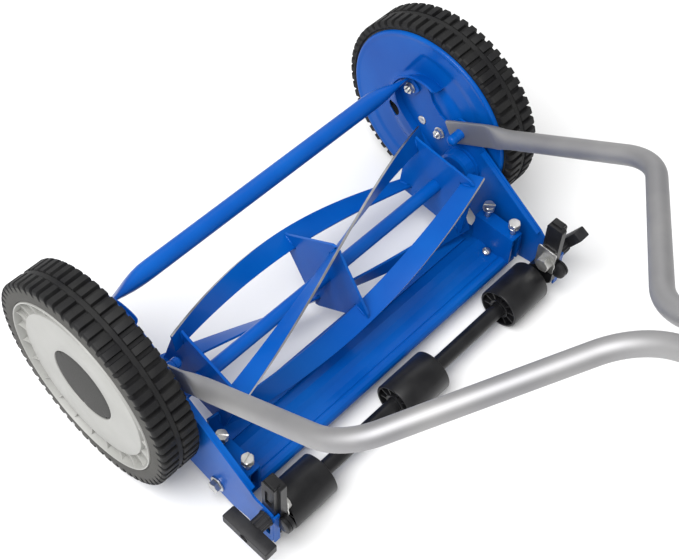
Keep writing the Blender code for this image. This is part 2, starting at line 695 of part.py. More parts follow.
def rounded_path(corners, radius, steps=5):
    """Replaces each inner corner of a flat (along, x) route by an arc."""
    points = [Vector(corners[0])]
    for before, corner, after in zip(corners, corners[1:], corners[2:]):
        before, corner, after = Vector(before), Vector(corner), Vector(after)
        into, out = (corner - before).normalized(), (after - corner).normalized()
        turn = into.angle(out)
        reach = radius * math.tan(turn / 2)
        start = corner - into * reach
        side = 1 if into.x * out.y - into.y * out.x > 0 else -1
        normal = Vector((-into.y, into.x)) * side
        centre = start + normal * radius
        for i in range(steps + 1):
            a = turn * i / steps
            points.append(centre + into * radius * math.sin(a) - normal * radius * math.cos(a))
    points.append(Vector(corners[-1]))
    return points


def tube_along(points, sizes, sides=12):
    """Sweeps an oval along flat (along, x) points; sizes give its two half-widths."""
    axis, up = handle_frame()
    path = []
    for i, p in enumerate(points):
        back, front = points[max(i - 1, 0)], points[min(i + 1, len(points) - 1)]
        d = (front - back).normalized()
        across = Vector((d.x, 0, 0)) - axis * d.y
        path.append((handle_point(p.x, p.y), across, up))

    def section(i):
        a, b = sizes[i]
        return [(a * math.cos(t), b * math.sin(t))
                for t in [2 * math.pi * (k + 0.5) / sides for k in range(sides)]]

    return swept(path, section)


def clamp_holes(x0, x1, radius):
    tools = []
    for station in CLAMP_STATIONS:
        p = handle_point(station, 0)
        tools.append(turned([(x0, radius), (x1, radius)], (p.y, p.z), 12))
    return merged(*tools)


def lower_tube(name, side, mat, pivot):
    """From the flattened end on the stud, round two bends to the middle."""
    corners = [(-19.0, side * FLAT_X), (30.0, side * FLAT_X), (62.0, side * LOWER_BEND[1]),
               (LOWER_BEND[0], side * LOWER_BEND[1]), (NECK_BEND[0], side * NECK_BEND[1]),
               (LOWER_END, side * NECK_BEND[1])]
    head = [Vector(c) for c in corners[:3]]
    bends = rounded_path([corners[2]] + corners[3:], BEND_RADIUS)[1:]
    points = head[:2] + [head[1].lerp(head[2], 0.5), head[2]] + bends
    flat = (FLAT_THICK / 2, FLAT_HEIGHT / 2)
    sizes = [flat, flat, (7.0, 14.0)] + [(TUBE_RADIUS, TUBE_RADIUS)] * (len(points) - 3)
    tube = finish_mesh(tube_along(points, sizes), name, mat, pivot)
    hole = turned([(side * (FLAT_X - 9), 6.6), (side * (FLAT_X + 9), 6.6)], STUD_YZ, 16)
    holes = merged(hole, clamp_holes(-60.0, 60.0, 3.4))
    return boolean(tube, holes, "DIFFERENCE", name + "_holes")


def upper_tube(name, side, mat, pivot):
    corners = [(UPPER_START, side * UPPER_X), (UPPER_TOP, side * UPPER_X),
               (UPPER_TOP, side * GRIP_HALF_SPAN)]
    points = rounded_path(corners, BEND_RADIUS * 0.9)
    tube = finish_mesh(tube_along(points, [(TUBE_RADIUS, TUBE_RADIUS)] * len(points)),
                       name, mat, pivot)
    return boolean(tube, clamp_holes(-60.0, 60.0, 3.4), "DIFFERENCE", name + "_holes")


def grip(name, side, mat, pivot):
    """A foam sleeve over the handle's end, closed outside."""
    p = handle_point(UPPER_TOP, 0)
    bore = TUBE_RADIUS + GAP
    start, end = GRIP_HALF_SPAN - GRIP_LENGTH, GRIP_HALF_SPAN + 4.0
    profile = [(start, bore), (start, 14.5), (start + 3, 16.0), (end - 3, 16.0), (end, 13.5),
               (end, 0.0)]
    inner = [(GRIP_HALF_SPAN + 0.5, 0.0), (GRIP_HALF_SPAN + 0.5, bore)]
    bm = turned(mirrored(profile[::-1] + inner[::-1], side), (p.y, p.z), 20)
    bmesh.ops.remove_doubles(bm, verts=bm.verts, dist=0.0001)
    return finish_mesh(bm, name, mat, pivot)


def clamp_bolt(name, station, mat, pivot):
    p = handle_point(station, 0)
    half = UPPER_X + TUBE_RADIUS + GAP
    bm = hex_bolt((p.y, p.z), half + 6.0, half, -half - 8.0, 11.0, 3.0, (8.0, 1.2))
    return finish_mesh(bm, name, mat, pivot)


# ---------------------------------------------------------------- assembly

def build():
    clear_scene()
    blue = material("blue_paint", (0.02, 0.16, 0.60), 0.32)
    zinc = material("zinc", (0.66, 0.66, 0.64), 0.30, 1.0)
    rubber = material("tyre_black", (0.035, 0.035, 0.035), 0.75)
    silver = material("wheel_silver", (0.62, 0.64, 0.64), 0.45)
    dark = material("cap_grey", (0.16, 0.16, 0.16), 0.5)
    black = material("black_plastic", (0.02, 0.02, 0.022), 0.4)
    alloy = material("handle_silver", (0.60, 0.60, 0.62), 0.28, 1.0)
    foam = material("grip_foam", (0.03, 0.03, 0.03), 0.9)

    root = empty("mower")
    root.location = Vector((0.0, AXLE_FORWARD, WHEEL_RADIUS)) * MM
    reel = empty("reel_axis", (REEL_Y, REEL_Z), parent=root)
    cutter = empty("cutter_axis", PIVOT_YZ, parent=root)
    carriage = empty("roller_carriage", ROLLER_YZ, parent=root)
    handle = empty("handle_axis", STUD_YZ, parent=root)

    tie_rod(blue, root)
    cutter_bar(blue, cutter)
    bed_knife(blue, cutter)
    reel_shaft(blue, reel)
    for place, x in (("left", -SPIDER_X), ("middle", 0.0), ("right", SPIDER_X)):
        spider("spider_" + place, x, blue, reel)
    for index in range(BLADES):
        blade(index, blue, reel)
    roller_rod(black, carriage)
    for place, x0, x1 in ROLLERS:
        spin = empty("roller_axis_" + place, ROLLER_YZ, parent=carriage)
        roller("roller_" + place, x0, x1, black, spin)

    for place, side in SIDES:
        side_plate("side_plate_" + place, side, blue, root)
        wheel_cover("wheel_cover_" + place, side, blue, root)
        axle("axle_" + place, side, zinc, root)
        bearing_housing("bearing_housing_" + place, side, blue, root)
        handle_stud("handle_stud_" + place, side, blue, root)
        tie_bolt("tie_rod_bolt_" + place, side, zinc, root)
        stop_bolt("cover_bolt_" + place, side, zinc, root)
        pivot_bolt("pivot_bolt_" + place, side, zinc, root)
        for order, y in zip(("front", "rear"), SCREW_YS):
            adjusting_screw("screw_%s_%s" % (order, place), side, y, zinc, cutter)

        spin = empty("wheel_axis_" + place, (0.0, 0.0), parent=root)
        tyre("tyre_" + place, side, rubber, spin)
        wheel("wheel_" + place, side, silver, spin)
        hub_cap("hub_cap_" + place, side, dark, spin)
        pinion("pinion_" + place, side, zinc, reel)
        pawl("pawl_" + place, side, zinc, reel)

        clamp_stud("clamp_stud_" + place, side, zinc, carriage)
        guide_block("guide_block_" + place, side, black, carriage)
        turn = empty("knob_axis_" + place, CLAMP_YZ, parent=carriage)
        clamp_knob("clamp_knob_" + place, side, 0.0 if side < 0 else -62.0, black, turn)

        lower_tube("handle_lower_" + place, side, alloy, handle)
        upper_tube("handle_upper_" + place, side, alloy, handle)
        grip("grip_" + place, side, foam, handle)
    for order, station in zip(("lower", "upper"), CLAMP_STATIONS):
        clamp_bolt("clamp_bolt_" + order, station, zinc, handle)


build()
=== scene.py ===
"""Looks for the push reel mower: finer visible pieces, materials, light and camera."""
import math

import bmesh
import bpy
from mathutils import Matrix, Vector


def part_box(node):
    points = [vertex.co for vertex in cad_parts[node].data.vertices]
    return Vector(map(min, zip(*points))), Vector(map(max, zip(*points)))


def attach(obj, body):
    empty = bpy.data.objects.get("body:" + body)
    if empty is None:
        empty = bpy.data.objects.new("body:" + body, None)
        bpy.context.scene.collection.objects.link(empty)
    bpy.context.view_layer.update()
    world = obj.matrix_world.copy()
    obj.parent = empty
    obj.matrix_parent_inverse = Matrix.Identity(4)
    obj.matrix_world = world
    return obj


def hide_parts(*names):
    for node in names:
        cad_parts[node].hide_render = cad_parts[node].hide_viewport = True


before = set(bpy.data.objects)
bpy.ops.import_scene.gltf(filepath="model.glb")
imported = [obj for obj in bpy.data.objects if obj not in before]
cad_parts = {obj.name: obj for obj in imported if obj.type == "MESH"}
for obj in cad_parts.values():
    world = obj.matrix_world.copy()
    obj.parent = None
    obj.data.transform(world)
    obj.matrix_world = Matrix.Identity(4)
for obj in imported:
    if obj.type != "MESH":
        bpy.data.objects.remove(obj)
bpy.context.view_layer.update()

MM = 0.001
SIDES = (("left", -1), ("right", 1))


def centre_yz(node):
    """A node's middle in Y and Z, in millimetres."""
    low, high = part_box(node)
    middle = (low + high) / 2 / MM
    return Vector((middle.y, middle.z))


# The axle frame: every size below is in millimetres from the wheels' axle.
ORIGIN = centre_yz("tyre_left")


def local_yz(node):
    """A node's middle in Y and Z, from the wheels' axle."""
    return centre_yz(node) - ORIGIN


REEL = local_yz("reel_shaft")
ROD = local_yz("roller_middle")
PIVOT = local_yz("pivot_bolt_left")
TIE_BOLT = local_yz("tie_rod_bolt_left")
COVER_BOLT = local_yz("cover_bolt_left")
STUD = local_yz("handle_stud_left")
CLAMP = local_yz("clamp_stud_left")

# ---------------------------------------------------------------- materials


def surface(name, dark, light, rough, spread=0.05, blotch=18.0, grain=900.0, relief=0.06,
            metallic=0.0, coat=0.0, coat_rough=0.1, specular=0.5, contrast=(0.35, 0.65)):
    """A procedural finish: blotchy colour, uneven roughness and a fine relief."""
    mat = bpy.data.materials.new(name)
    mat.use_nodes = True
    nodes, links = mat.node_tree.nodes, mat.node_tree.links
    shader = nodes["Principled BSDF"]
    shader.inputs["Metallic"].default_value = metallic
    shader.inputs["Coat Weight"].default_value = coat
    shader.inputs["Coat Roughness"].default_value = coat_rough
    shader.inputs["Specular IOR Level"].default_value = specular
    place = nodes.new("ShaderNodeTexCoord")
    broad = nodes.new("ShaderNodeTexNoise")
    broad.inputs["Scale"].default_value = blotch
    broad.inputs["Detail"].default_value = 5.0
    ramp = nodes.new("ShaderNodeValToRGB")
    ramp.color_ramp.elements[0].position, ramp.color_ramp.elements[1].position = contrast
    ramp.color_ramp.elements[0].color = (*dark, 1.0)
    ramp.color_ramp.elements[1].color = (*light, 1.0)
    fine = nodes.new("ShaderNodeTexNoise")
    fine.inputs["Scale"].default_value = grain
    fine.inputs["Detail"].default_value = 3.0
    spans = nodes.new("ShaderNodeMapRange")
    spans.inputs["To Min"].default_value = max(rough - spread, 0.02)
    spans.inputs["To Max"].default_value = min(rough + spread, 1.0)
    bump = nodes.new("ShaderNodeBump")
    bump.inputs["Strength"].default_value = relief
    bump.inputs["Distance"].default_value = 0.0004
    links.new(place.outputs["Object"], broad.inputs["Vector"])
    links.new(place.outputs["Object"], fine.inputs["Vector"])
    links.new(broad.outputs["Fac"], ramp.inputs["Fac"])
    links.new(ramp.outputs["Color"], shader.inputs["Base Color"])
    links.new(broad.outputs["Fac"], spans.inputs["Value"])
    links.new(spans.outputs["Result"], shader.inputs["Roughness"])
    links.new(fine.outputs["Fac"], bump.inputs["Height"])
    links.new(bump.outputs["Normal"], shader.inputs["Normal"])
    return mat


def brushed(mat, stretch):
    """Draws the fine relief of a finish out along one axis, as drawn tube has."""
    nodes, links = mat.node_tree.nodes, mat.node_tree.links
    place = next(n for n in nodes if n.type == "TEX_COORD")
    bump = next(n for n in nodes if n.type == "BUMP")
    fine = bump.inputs["Height"].links[0].from_node
    mapping = nodes.new("ShaderNodeMapping")
    mapping.inputs["Scale"].default_value = stretch
    links.new(place.outputs["Object"], mapping.inputs["Vector"])
    links.new(mapping.outputs["Vector"], fine.inputs["Vector"])
    return mat


BLUE = surface("paint_blue", (0.0, 0.066, 0.335), (0.001, 0.090, 0.395), 0.32, 0.07, 9.0, 420.0,
               0.12, coat=0.08, coat_rough=0.08, specular=0.12)
ZINC = surface("plated_zinc", (0.50, 0.50, 0.48), (0.70, 0.69, 0.67), 0.30, 0.06, 90.0, 1500.0,
               0.03, metallic=0.92)
STEEL = brushed(surface("ground_steel", (0.30, 0.30, 0.31), (0.44, 0.43, 0.42), 0.38, 0.08, 60.0,
                        900.0, 0.20, metallic=1.0), (0.05, 1.0, 1.0))
RUBBER = surface("tyre_rubber", (0.007, 0.007, 0.008), (0.014, 0.014, 0.014), 0.62, 0.10, 45.0,
                 1300.0, 0.25, specular=0.22)
SIDEWALL = surface("tyre_sidewall", (0.052, 0.051, 0.047), (0.070, 0.068, 0.063), 0.66, 0.08,
                   30.0, 1800.0, 0.25, specular=0.25)
SILVER = surface("wheel_plastic", (0.32, 0.32, 0.303), (0.36, 0.36, 0.344), 0.42, 0.06, 25.0,
                 1600.0, 0.08, specular=0.4)
CAP = surface("cap_plastic", (0.015, 0.015, 0.014), (0.042, 0.041, 0.039), 0.55, 0.08, 900.0,
              1500.0, 0.20, specular=0.18, contrast=(0.42, 0.62))
BLACK = surface("moulded_black", (0.005, 0.005, 0.006), (0.011, 0.011, 0.012), 0.34, 0.08, 40.0,
                1400.0, 0.14, specular=0.32)
KNOB = surface("knob_black", (0.011, 0.011, 0.013), (0.020, 0.020, 0.022), 0.50, 0.08, 60.0,
               1500.0, 0.30, specular=0.3)
ALLOY = brushed(surface("tube_alloy", (0.335, 0.333, 0.342), (0.395, 0.391, 0.392), 0.60, 0.05,
                        14.0, 500.0, 0.10, metallic=1.0), (1.0, 0.06, 0.06))
FOAM = surface("grip_foam", (0.016, 0.016, 0.017), (0.030, 0.030, 0.031), 0.85, 0.10, 300.0,
               700.0, 0.8, specular=0.25)

# ---------------------------------------------------------------- mesh helpers


def to_scene(bm):
    """Takes a shape from millimetres in the axle frame to the scene's metres."""
    bm.transform(Matrix.Translation((0, ORIGIN.x, ORIGIN.y)))
    bm.transform(Matrix.Scale(MM, 4))


def link(name, data):
    """Puts a mesh, lamp or camera into the scene as a new object."""
    obj = bpy.data.objects.new(name, data)
    bpy.context.scene.collection.objects.link(obj)
    return obj


def flattened(obj):
    """An object's mesh with its modifiers applied."""
    bpy.context.view_layer.update()
    return bpy.data.meshes.new_from_object(
        obj.evaluated_get(bpy.context.evaluated_depsgraph_get()))


def resharpen(obj, angle):
    """Shades a carved piece smooth again, but for its edges over an angle in degrees."""
    obj.data.shade_smooth()
    obj.data.set_sharp_from_angle(angle=math.radians(angle))


def piece(name, bm, mat, body, *nodes, bevel=0.0, rows=2, limit=32.0, smooth=32.0):
    """Makes an object from millimetre geometry and lets it ride on a body."""
    bmesh.ops.remove_doubles(bm, verts=bm.verts, dist=0.0005)
    bmesh.ops.recalc_face_normals(bm, faces=bm.faces)
    to_scene(bm)
    mesh = bpy.data.meshes.new(name)
    bm.to_mesh(mesh)
    bm.free()
    for m in (mat if isinstance(mat, (list, tuple)) else (mat,)):
        mesh.materials.append(m)
    mesh.shade_smooth()
    if bevel == 0:
        mesh.set_sharp_from_angle(angle=math.radians(smooth))
    obj = link(name, mesh)
    if bevel > 0:
        soften(obj, bevel, rows, limit)
    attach(obj, body)
    if nodes:
        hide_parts(*nodes)
    return obj


def soften(obj, width, rows=2, limit=32.0):
    """Rounds an object's sharp edges by a small radius."""
    mod = obj.modifiers.new("edge", "BEVEL")
    mod.width = width * MM
    mod.segments = rows
    mod.limit_method = "ANGLE"
    mod.angle_limit = math.radians(limit)
    mod.harden_normals = True
    mod.use_clamp_overlap = True


def carve(obj, *cutters, overlapping=False):
    """Cuts shapes out of a piece for good, before its edges are rounded."""
    kept = [(m.width, m.segments, m.angle_limit) for m in obj.modifiers]
    obj.modifiers.clear()
    for cutter in cutters:
        to_scene(cutter)
        bmesh.ops.recalc_face_normals(cutter, faces=cutter.faces)
        mesh = bpy.data.meshes.new("cutter")
        cutter.to_mesh(mesh)
        cutter.free()
        mesh.materials.append(obj.data.materials[0])
        tool = link("cutter", mesh)
        mod = obj.modifiers.new("carve", "BOOLEAN")
        mod.operation = "DIFFERENCE"
        mod.use_self = overlapping
        mod.object = tool
        done = flattened(obj)
        obj.modifiers.clear()
        obj.data = done
        bpy.data.objects.remove(tool)
    for width, rows, limit in kept:
        soften(obj, width / MM, rows, math.degrees(limit))
    return obj


def ring(bm, points):
    """New vertices at a row of points."""
    return [bm.verts.new(p) for p in points]


def bridge(bm, first, second):
    """Joins two vertex rings of one length with quads."""
    count = len(first)
    for i in range(count):
        j = (i + 1) % count
        bm.faces.new((first[i], first[j], second[j], second[i]))


def turned(profile, yz=(0.0, 0.0), segments=64, closed=False, bm=None):
    """Turns (x, radius) points about an axis along X; closed joins the last to the first."""
    bm = bm or bmesh.new()
    rings = []
    for x, radius in profile:
        count = 1 if radius == 0 else segments
        rings.append(ring(bm, [(x, yz[0] + radius * math.cos(2 * math.pi * i / segments),
                                yz[1] + radius * math.sin(2 * math.pi * i / segments))
                               for i in range(count)]))
    pairs = list(zip(rings, rings[1:])) + ([(rings[-1], rings[0])] if closed else [])
    for first, second in pairs:
        if len(first) == len(second):
            bridge(bm, first, second)
            continue
        tip, loop = (first[0], second) if len(first) == 1 else (second[0], first)
        for i in range(len(loop)):
            bm.faces.new((loop[i], loop[(i + 1) % len(loop)], tip))
    if not closed:
        for end in (rings[0], rings[-1]):
            if len(end) > 1:
                bm.faces.new(end)
    return bm


def mirrored(profile, side):
    """(x, radius) points for one side of the mower."""
    return [(side * x, r) for x, r in profile]


def arc(centre, radius, start, end, steps):
    """Points on a circle from one angle in degrees to another."""
    points = []
    for i in range(steps + 1):
        a = math.radians(start + (end - start) * i / steps)
        points.append((centre[0] + radius * math.cos(a), centre[1] + radius * math.sin(a)))
    return points


def slab(outline, x0, x1, holes=()):
    """A plate from a YZ outline with holes, with quads round its edges."""
    bm = bmesh.new()
    loops = [ring(bm, [(x0, y, z) for y, z in loop]) for loop in (outline, *holes)]
    edges = [bm.edges.new((loop[i], loop[(i + 1) % len(loop)]))
             for loop in loops for i in range(len(loop))]
    filled = bmesh.ops.triangle_fill(bm, use_beauty=True, use_dissolve=False, edges=edges)
    faces = [f for f in filled["geom"] if isinstance(f, bmesh.types.BMFace)]
    grown = bmesh.ops.extrude_face_region(bm, geom=faces)["geom"]
    moved = [v for v in grown if isinstance(v, bmesh.types.BMVert)]
    bmesh.ops.translate(bm, verts=moved, vec=(x1 - x0, 0, 0))
    return bm


def box(x, y, z):
    """A block between the two values given for each axis."""
    bm = bmesh.new()
    bmesh.ops.create_cube(bm, size=1.0)
    for v in bm.verts:
        v.co = Vector([(span[0] + span[1]) / 2 + v.co[k] * (span[1] - span[0])
                       for k, span in enumerate((x, y, z))])
    return bm


def join(bm, other):
    """Adds another shape's geometry to bm."""
    mesh = bpy.data.meshes.new("join")
    other.to_mesh(mesh)
    other.free()
    bm.from_mesh(mesh)
    bpy.data.meshes.remove(mesh)
    return bm


def eased(points):
    """Cuts the corners of an open route twice, so that a coarse one becomes smooth."""
    points = [Vector(p) for p in points]
    for _ in range(2):
        cut = [points[0]]
        for a, b in zip(points, points[1:]):
            cut += [a.lerp(b, 0.25), a.lerp(b, 0.75)]
        points = cut + [points[-1]]
    return points


def fillet(points, radius, steps=4):
    """Rounds the corners of a closed outline by a radius, where its edges leave room."""
    points = [Vector(p) for p in points]
    out = []
    count = len(points)
    for i, corner in enumerate(points):
        before, after = points[i - 1], points[(i + 1) % count]
        into, away = (corner - before), (after - corner)
        turn = into.angle(away)
        if turn < 0.05:
            out.append(corner)
            continue
        reach = min(radius * math.tan(turn / 2), into.length * 0.45, away.length * 0.45)
        start, end = corner - into.normalized() * reach, corner + away.normalized() * reach
        for k in range(steps + 1):
            t = k / steps
            out.append(start.lerp(corner, t).lerp(corner.lerp(end, t), t))
    return out


def wall_outline(route, thick):
    """A thin wall in the YZ plane along a route."""
    left, right = [], []
    for i, here in enumerate(route):
        before, after = Vector(route[max(i - 1, 0)]), Vector(route[min(i + 1, len(route) - 1)])
        along = (after - before).normalized()
        normal = Vector((-along.y, along.x)) * thick / 2
        left.append(Vector(here) + normal)
        right.append(Vector(here) - normal)
    return left + right[::-1]


def swept(stations, bm=None, mat_of=None):
    """Joins a row of rings of points, with closed ends; mat_of(k) is face k's material."""
    bm = bm or bmesh.new()
    rings = [ring(bm, points) for points in stations]
    for first, second in zip(rings, rings[1:]):
        count = len(first)
        for i in range(count):
            j = (i + 1) % count
            face = bm.faces.new((first[i], first[j], second[j], second[i]))
            face.material_index = mat_of(i) if mat_of else 0
    bm.faces.new(rings[0])
    bm.faces.new(rings[-1])
    return bm


def skinned(bm, rings):
    """Joins a row of vertex rings and closes both ends."""
    for first, second in zip(rings, rings[1:]):
        bridge(bm, first, second)
    bm.faces.new(rings[0])
    bm.faces.new(rings[-1])


def spoke_axes(angle):
    """Unit vectors outwards and around, at an angle about an axis along X."""
    return (Vector((0, math.cos(angle), math.sin(angle))),
            Vector((0, -math.sin(angle), math.cos(angle))))


def smoothstep(t):
    t = min(max(t, 0.0), 1.0)
    return t * t * (3 - 2 * t)


# ---------------------------------------------------------------- screws


def place_on_axis(bm, axis, at):
    """Turns a shape made along +X so that it points along another axis, at a place."""
    turn = Vector((1, 0, 0)).rotation_difference(Vector(axis)).to_matrix().to_4x4()
    bm.transform(Matrix.Translation(at) @ turn)
    return bm


def hex_head(flats, height, washer_r, washer_t, shank_r, shank, turn=0.0, proud=0.0):
    """A hexagon head along +X with its seat at x = 0, on a washer, with a shank."""
    bm = bmesh.new()
    turned([(0.0, shank_r), (0.0, washer_r - 0.3), (0.3, washer_r), (washer_t - 0.3, washer_r),
            (washer_t, washer_r - 0.5), (washer_t, shank_r)], segments=36, closed=True, bm=bm)
    corner = flats / 2 / math.cos(math.pi / 6)
    rings = []
    top = washer_t + height
    sides = 36
    for x, crown in ((washer_t, flats), (top - 1.1, flats), (top - 0.5, corner * 0.965),
                     (top, corner * 0.84)):
        points = []
        for i in range(sides):
            a = 2 * math.pi * i / sides
            wedge = (a + math.pi / 6) % (math.pi / 3) - math.pi / 6
            r = min(flats / 2 / math.cos(wedge), crown)
            points.append((x, r * math.cos(a + turn), r * math.sin(a + turn)))
        rings.append(ring(bm, points))
    skinned(bm, rings)
    turned([(washer_t + 0.5, shank_r), (-shank + 0.8, shank_r), (-shank, shank_r - 0.8)],
           segments=24, bm=bm)
    if proud:
        turned([(top - 0.8, shank_r), (top + proud - 0.9, shank_r), (top + proud, shank_r - 0.9)],
               segments=24, bm=bm)
    return bm


def screw(name, body, node, axis, seat, flats, height, washer, shank_r, shank, turn=0.0,
          slot=0.0, slot_turn=0.0, proud=0.0):
    """A plated hexagon screw, slotted by slot's width, or a nut with its stud proud."""
    bm = hex_head(flats, height, washer[0], washer[1], shank_r, shank, turn, proud)
    place_on_axis(bm, axis, seat)
    obj = piece(name, bm, ZINC, body, node, smooth=28.0)
    if slot:
        top = washer[1] + height
        cutter = box((top - 1.5, top + 1.0), (-flats, flats), (-slot / 2, slot / 2))
        cutter.transform(Matrix.Rotation(slot_turn, 4, "X"))
        carve(obj, place_on_axis(cutter, axis, seat), overlapping=True)
        resharpen(obj, 28)
    return obj


# ---------------------------------------------------------------- wheels

WHEEL_R, TYRE_IN, TYRE_OUT, BORE = 127.0, 244.4, 288.5, 105.5
TREAD_DEEP, CAP_R = 4.6, 42.8
LUGS, FINS = 60, 24


def tyre(name, side):
    """Two rows of tread blocks either side of a plain rib, on a smooth sidewall."""
    low = WHEEL_R - TREAD_DEEP
    # x, radius on a block, radius in a gap; a row's material zone goes by its place in the list
    profile = [(TYRE_IN, BORE, BORE), (TYRE_IN, 113.0, 113.0), (TYRE_IN - 1.2, 117.0, 117.0),
               (TYRE_IN - 3.4, 118.6, 118.2), (TYRE_IN - 3.8, 122.4, 119.0),
               (TYRE_IN - 3.4, 125.0, 119.8), (TYRE_IN - 2.2, 126.4, low - 1.4),
               (TYRE_IN - 0.6, WHEEL_R, low),
               (261.6, WHEEL_R, low), (262.3, 126.5, low), (262.5, 125.2, 124.8),
               (263.2, 125.8, 125.8), (268.1, 125.8, 125.8), (268.8, 125.2, 124.8),
               (269.0, 126.5, low), (269.7, WHEEL_R, low), (TYRE_OUT - 3.2, WHEEL_R, low),
               (TYRE_OUT - 1.6, 126.4, low - 1.6), (TYRE_OUT - 0.5, 125.0, 119.2),
               (TYRE_OUT - 0.1, 122.4, 117.4), (TYRE_OUT, 117.6, 116.6),
               (TYRE_OUT + 0.3, 112.0, 112.0), (TYRE_OUT + 0.1, 107.0, 107.0),
               (TYRE_OUT - 0.4, BORE + 0.2, BORE + 0.2)]
    shares = ((0.0, True), (0.28, True), (0.56, True), (0.63, False), (0.78, False),
              (0.93, False))
    bm = bmesh.new()
    rings = []
    for lug in range(LUGS):
        for share, high in shares:
            a = 2 * math.pi * (lug + share) / LUGS
            rings.append(ring(bm, [(side * x, (top if high else base) * math.cos(a),
                                    (top if high else base) * math.sin(a))
                                   for x, top, base in profile]))
    last = len(profile) - 1
    for i, first in enumerate(rings):
        second = rings[(i + 1) % len(rings)]
        for k in range(len(profile)):
            face = bm.faces.new((first[k], first[(k + 1) % len(profile)],
                                 second[(k + 1) % len(profile)], second[k]))
            face.material_index = 1 if k in (0, 1, last - 4, last - 3, last - 2, last - 1,
                                             last) else 0
    return piece(name, bm, (RUBBER, SIDEWALL), "%s_wheel" % name.split("_")[1], name,
                 bevel=0.45, rows=2, limit=38.0)


def wheel(name, side):
    """The moulded wheel: light rim ring, recessed annulus with fins, flat disc, hub."""
    place = name.split("_")[1]
    rim = BORE - 0.3
    profile = [(246.0, rim), (288.6, rim), (289.4, rim - 0.3), (289.6, rim - 0.9),
               (289.3, rim - 1.7), (287.6, rim - 2.2), (281.0, rim - 2.9), (280.6, 99.0),
               (280.6, 92.0), (281.4, 90.0), (284.9, 89.0), (285.7, 88.6), (286.0, 87.6),
               (286.1, 66.0), (286.0, 44.4), (285.6, 43.6), (284.6, 43.3), (277.5, 43.2),
               (277.5, 7.0), (243.6, 7.0), (243.6, 14.0), (270.0, 18.0), (272.0, 92.4),
               (246.0, 92.4)]
    bm = turned(mirrored(profile, side), segments=120, closed=True)
    for k in range(FINS):
        a = math.radians(2.0 + 360.0 / FINS * k)
        radial, across = spoke_axes(a)
        stations = []
        for r, top in ((88.6, 284.6), (92.0, 284.9), (97.0, 285.3), (100.5, 286.0),
                       (103.4, 287.2)):
            base = radial * r
            stations.append([base + across * 0.8 + Vector((side * 280.0, 0, 0)),
                             base + across * 0.55 + Vector((side * (top - 0.3), 0, 0)),
                             base + across * 0.3 + Vector((side * top, 0, 0)),
                             base - across * 0.3 + Vector((side * top, 0, 0)),
                             base - across * 0.55 + Vector((side * (top - 0.3), 0, 0)),
                             base - across * 0.8 + Vector((side * 280.0, 0, 0))])
        swept(stations, bm=bm)
    return piece(name, bm, SILVER, "%s_wheel" % place, name, smooth=35.0)


def hub_cap(name, side):
    """A slightly domed cap with three small notches at its edge."""
    bm = bmesh.new()

    def radius(angle):
        r = CAP_R
        for notch in (45.0, 217.0, 277.0):
            off = (angle - notch + 180.0) % 360.0 - 180.0
            r -= 2.6 * smoothstep(1.0 - abs(off) / 3.4)
        return r

    rings = []
    for share, x in ((1.0, 278.2), (1.0, 284.4), (0.992, 284.9), (0.97, 285.15), (0.75, 285.35),
                     (0.45, 285.7), (0.2, 285.9)):
        loop = []
        for i in range(180):
            r, a = radius(i * 2.0) * share, math.radians(i * 2.0)
            loop.append((side * x, r * math.cos(a), r * math.sin(a)))
        rings.append(ring(bm, loop))
    skinned(bm, rings)
    return piece(name, bm, CAP, "%s_wheel" % name.split("_")[2], name, smooth=35.0)


def knife_screw(place, side):
    """A short slotted screw that holds the bed knife to the bar."""
    seat = (side * 196.0, -142.5, -96.6)
    profile = [(-1.5, 0.0), (-1.5, 2.7), (3.6, 2.7), (3.6, 4.6), (3.9, 4.9), (5.6, 4.9), (6.6, 3.9),
               (7.1, 2.0), (7.1, 0.0)]
    bm = place_on_axis(turned(profile, segments=32), (0, -0.12, 1), seat)
    obj = piece("knife_screw_" + place, bm, ZINC, "cutter", smooth=35.0)
    slot = box((5.9, 8.0), (-7.0, 7.0), (-0.6, 0.6))
    carve(obj, place_on_axis(slot, (0, -0.12, 1), seat))
    resharpen(obj, 35)


# ---------------------------------------------------------------- frame pieces

PLATE_IN, PLATE_OUT = 231.5, 234.0
COVER_R = 115.0


def pocket(y, z):
    """How far a point lies inside the cover's pressed pocket, 0 to 1."""
    r = math.hypot(y, z)
    inside = smoothstep((96.0 - r) / (6.0 + 0.10 * max(20.0 - y, 0.0)))
    edge_y = 24.0 + (76.0 - z) * 0.56
    behind = smoothstep((edge_y - y) / 5.0 + 0.5)
    return inside * behind


def cover_x(y, z):
    """The cover's inner surface, away from the mower's middle."""
    r = math.hypot(y, z)
    x = 235.2 + 4.2 * smoothstep((r - 48.0) / 16.0)
    x += 1.5 * pocket(y, z) * smoothstep((r - 50.0) / 15.0)
    bead = max(1.0 - ((r - 112.4) / 2.4) ** 2, 0.0)
    roll = max(r - 113.4, 0.0) / 1.6
    return x - 0.9 * math.sqrt(bead) + 2.2 * roll * roll


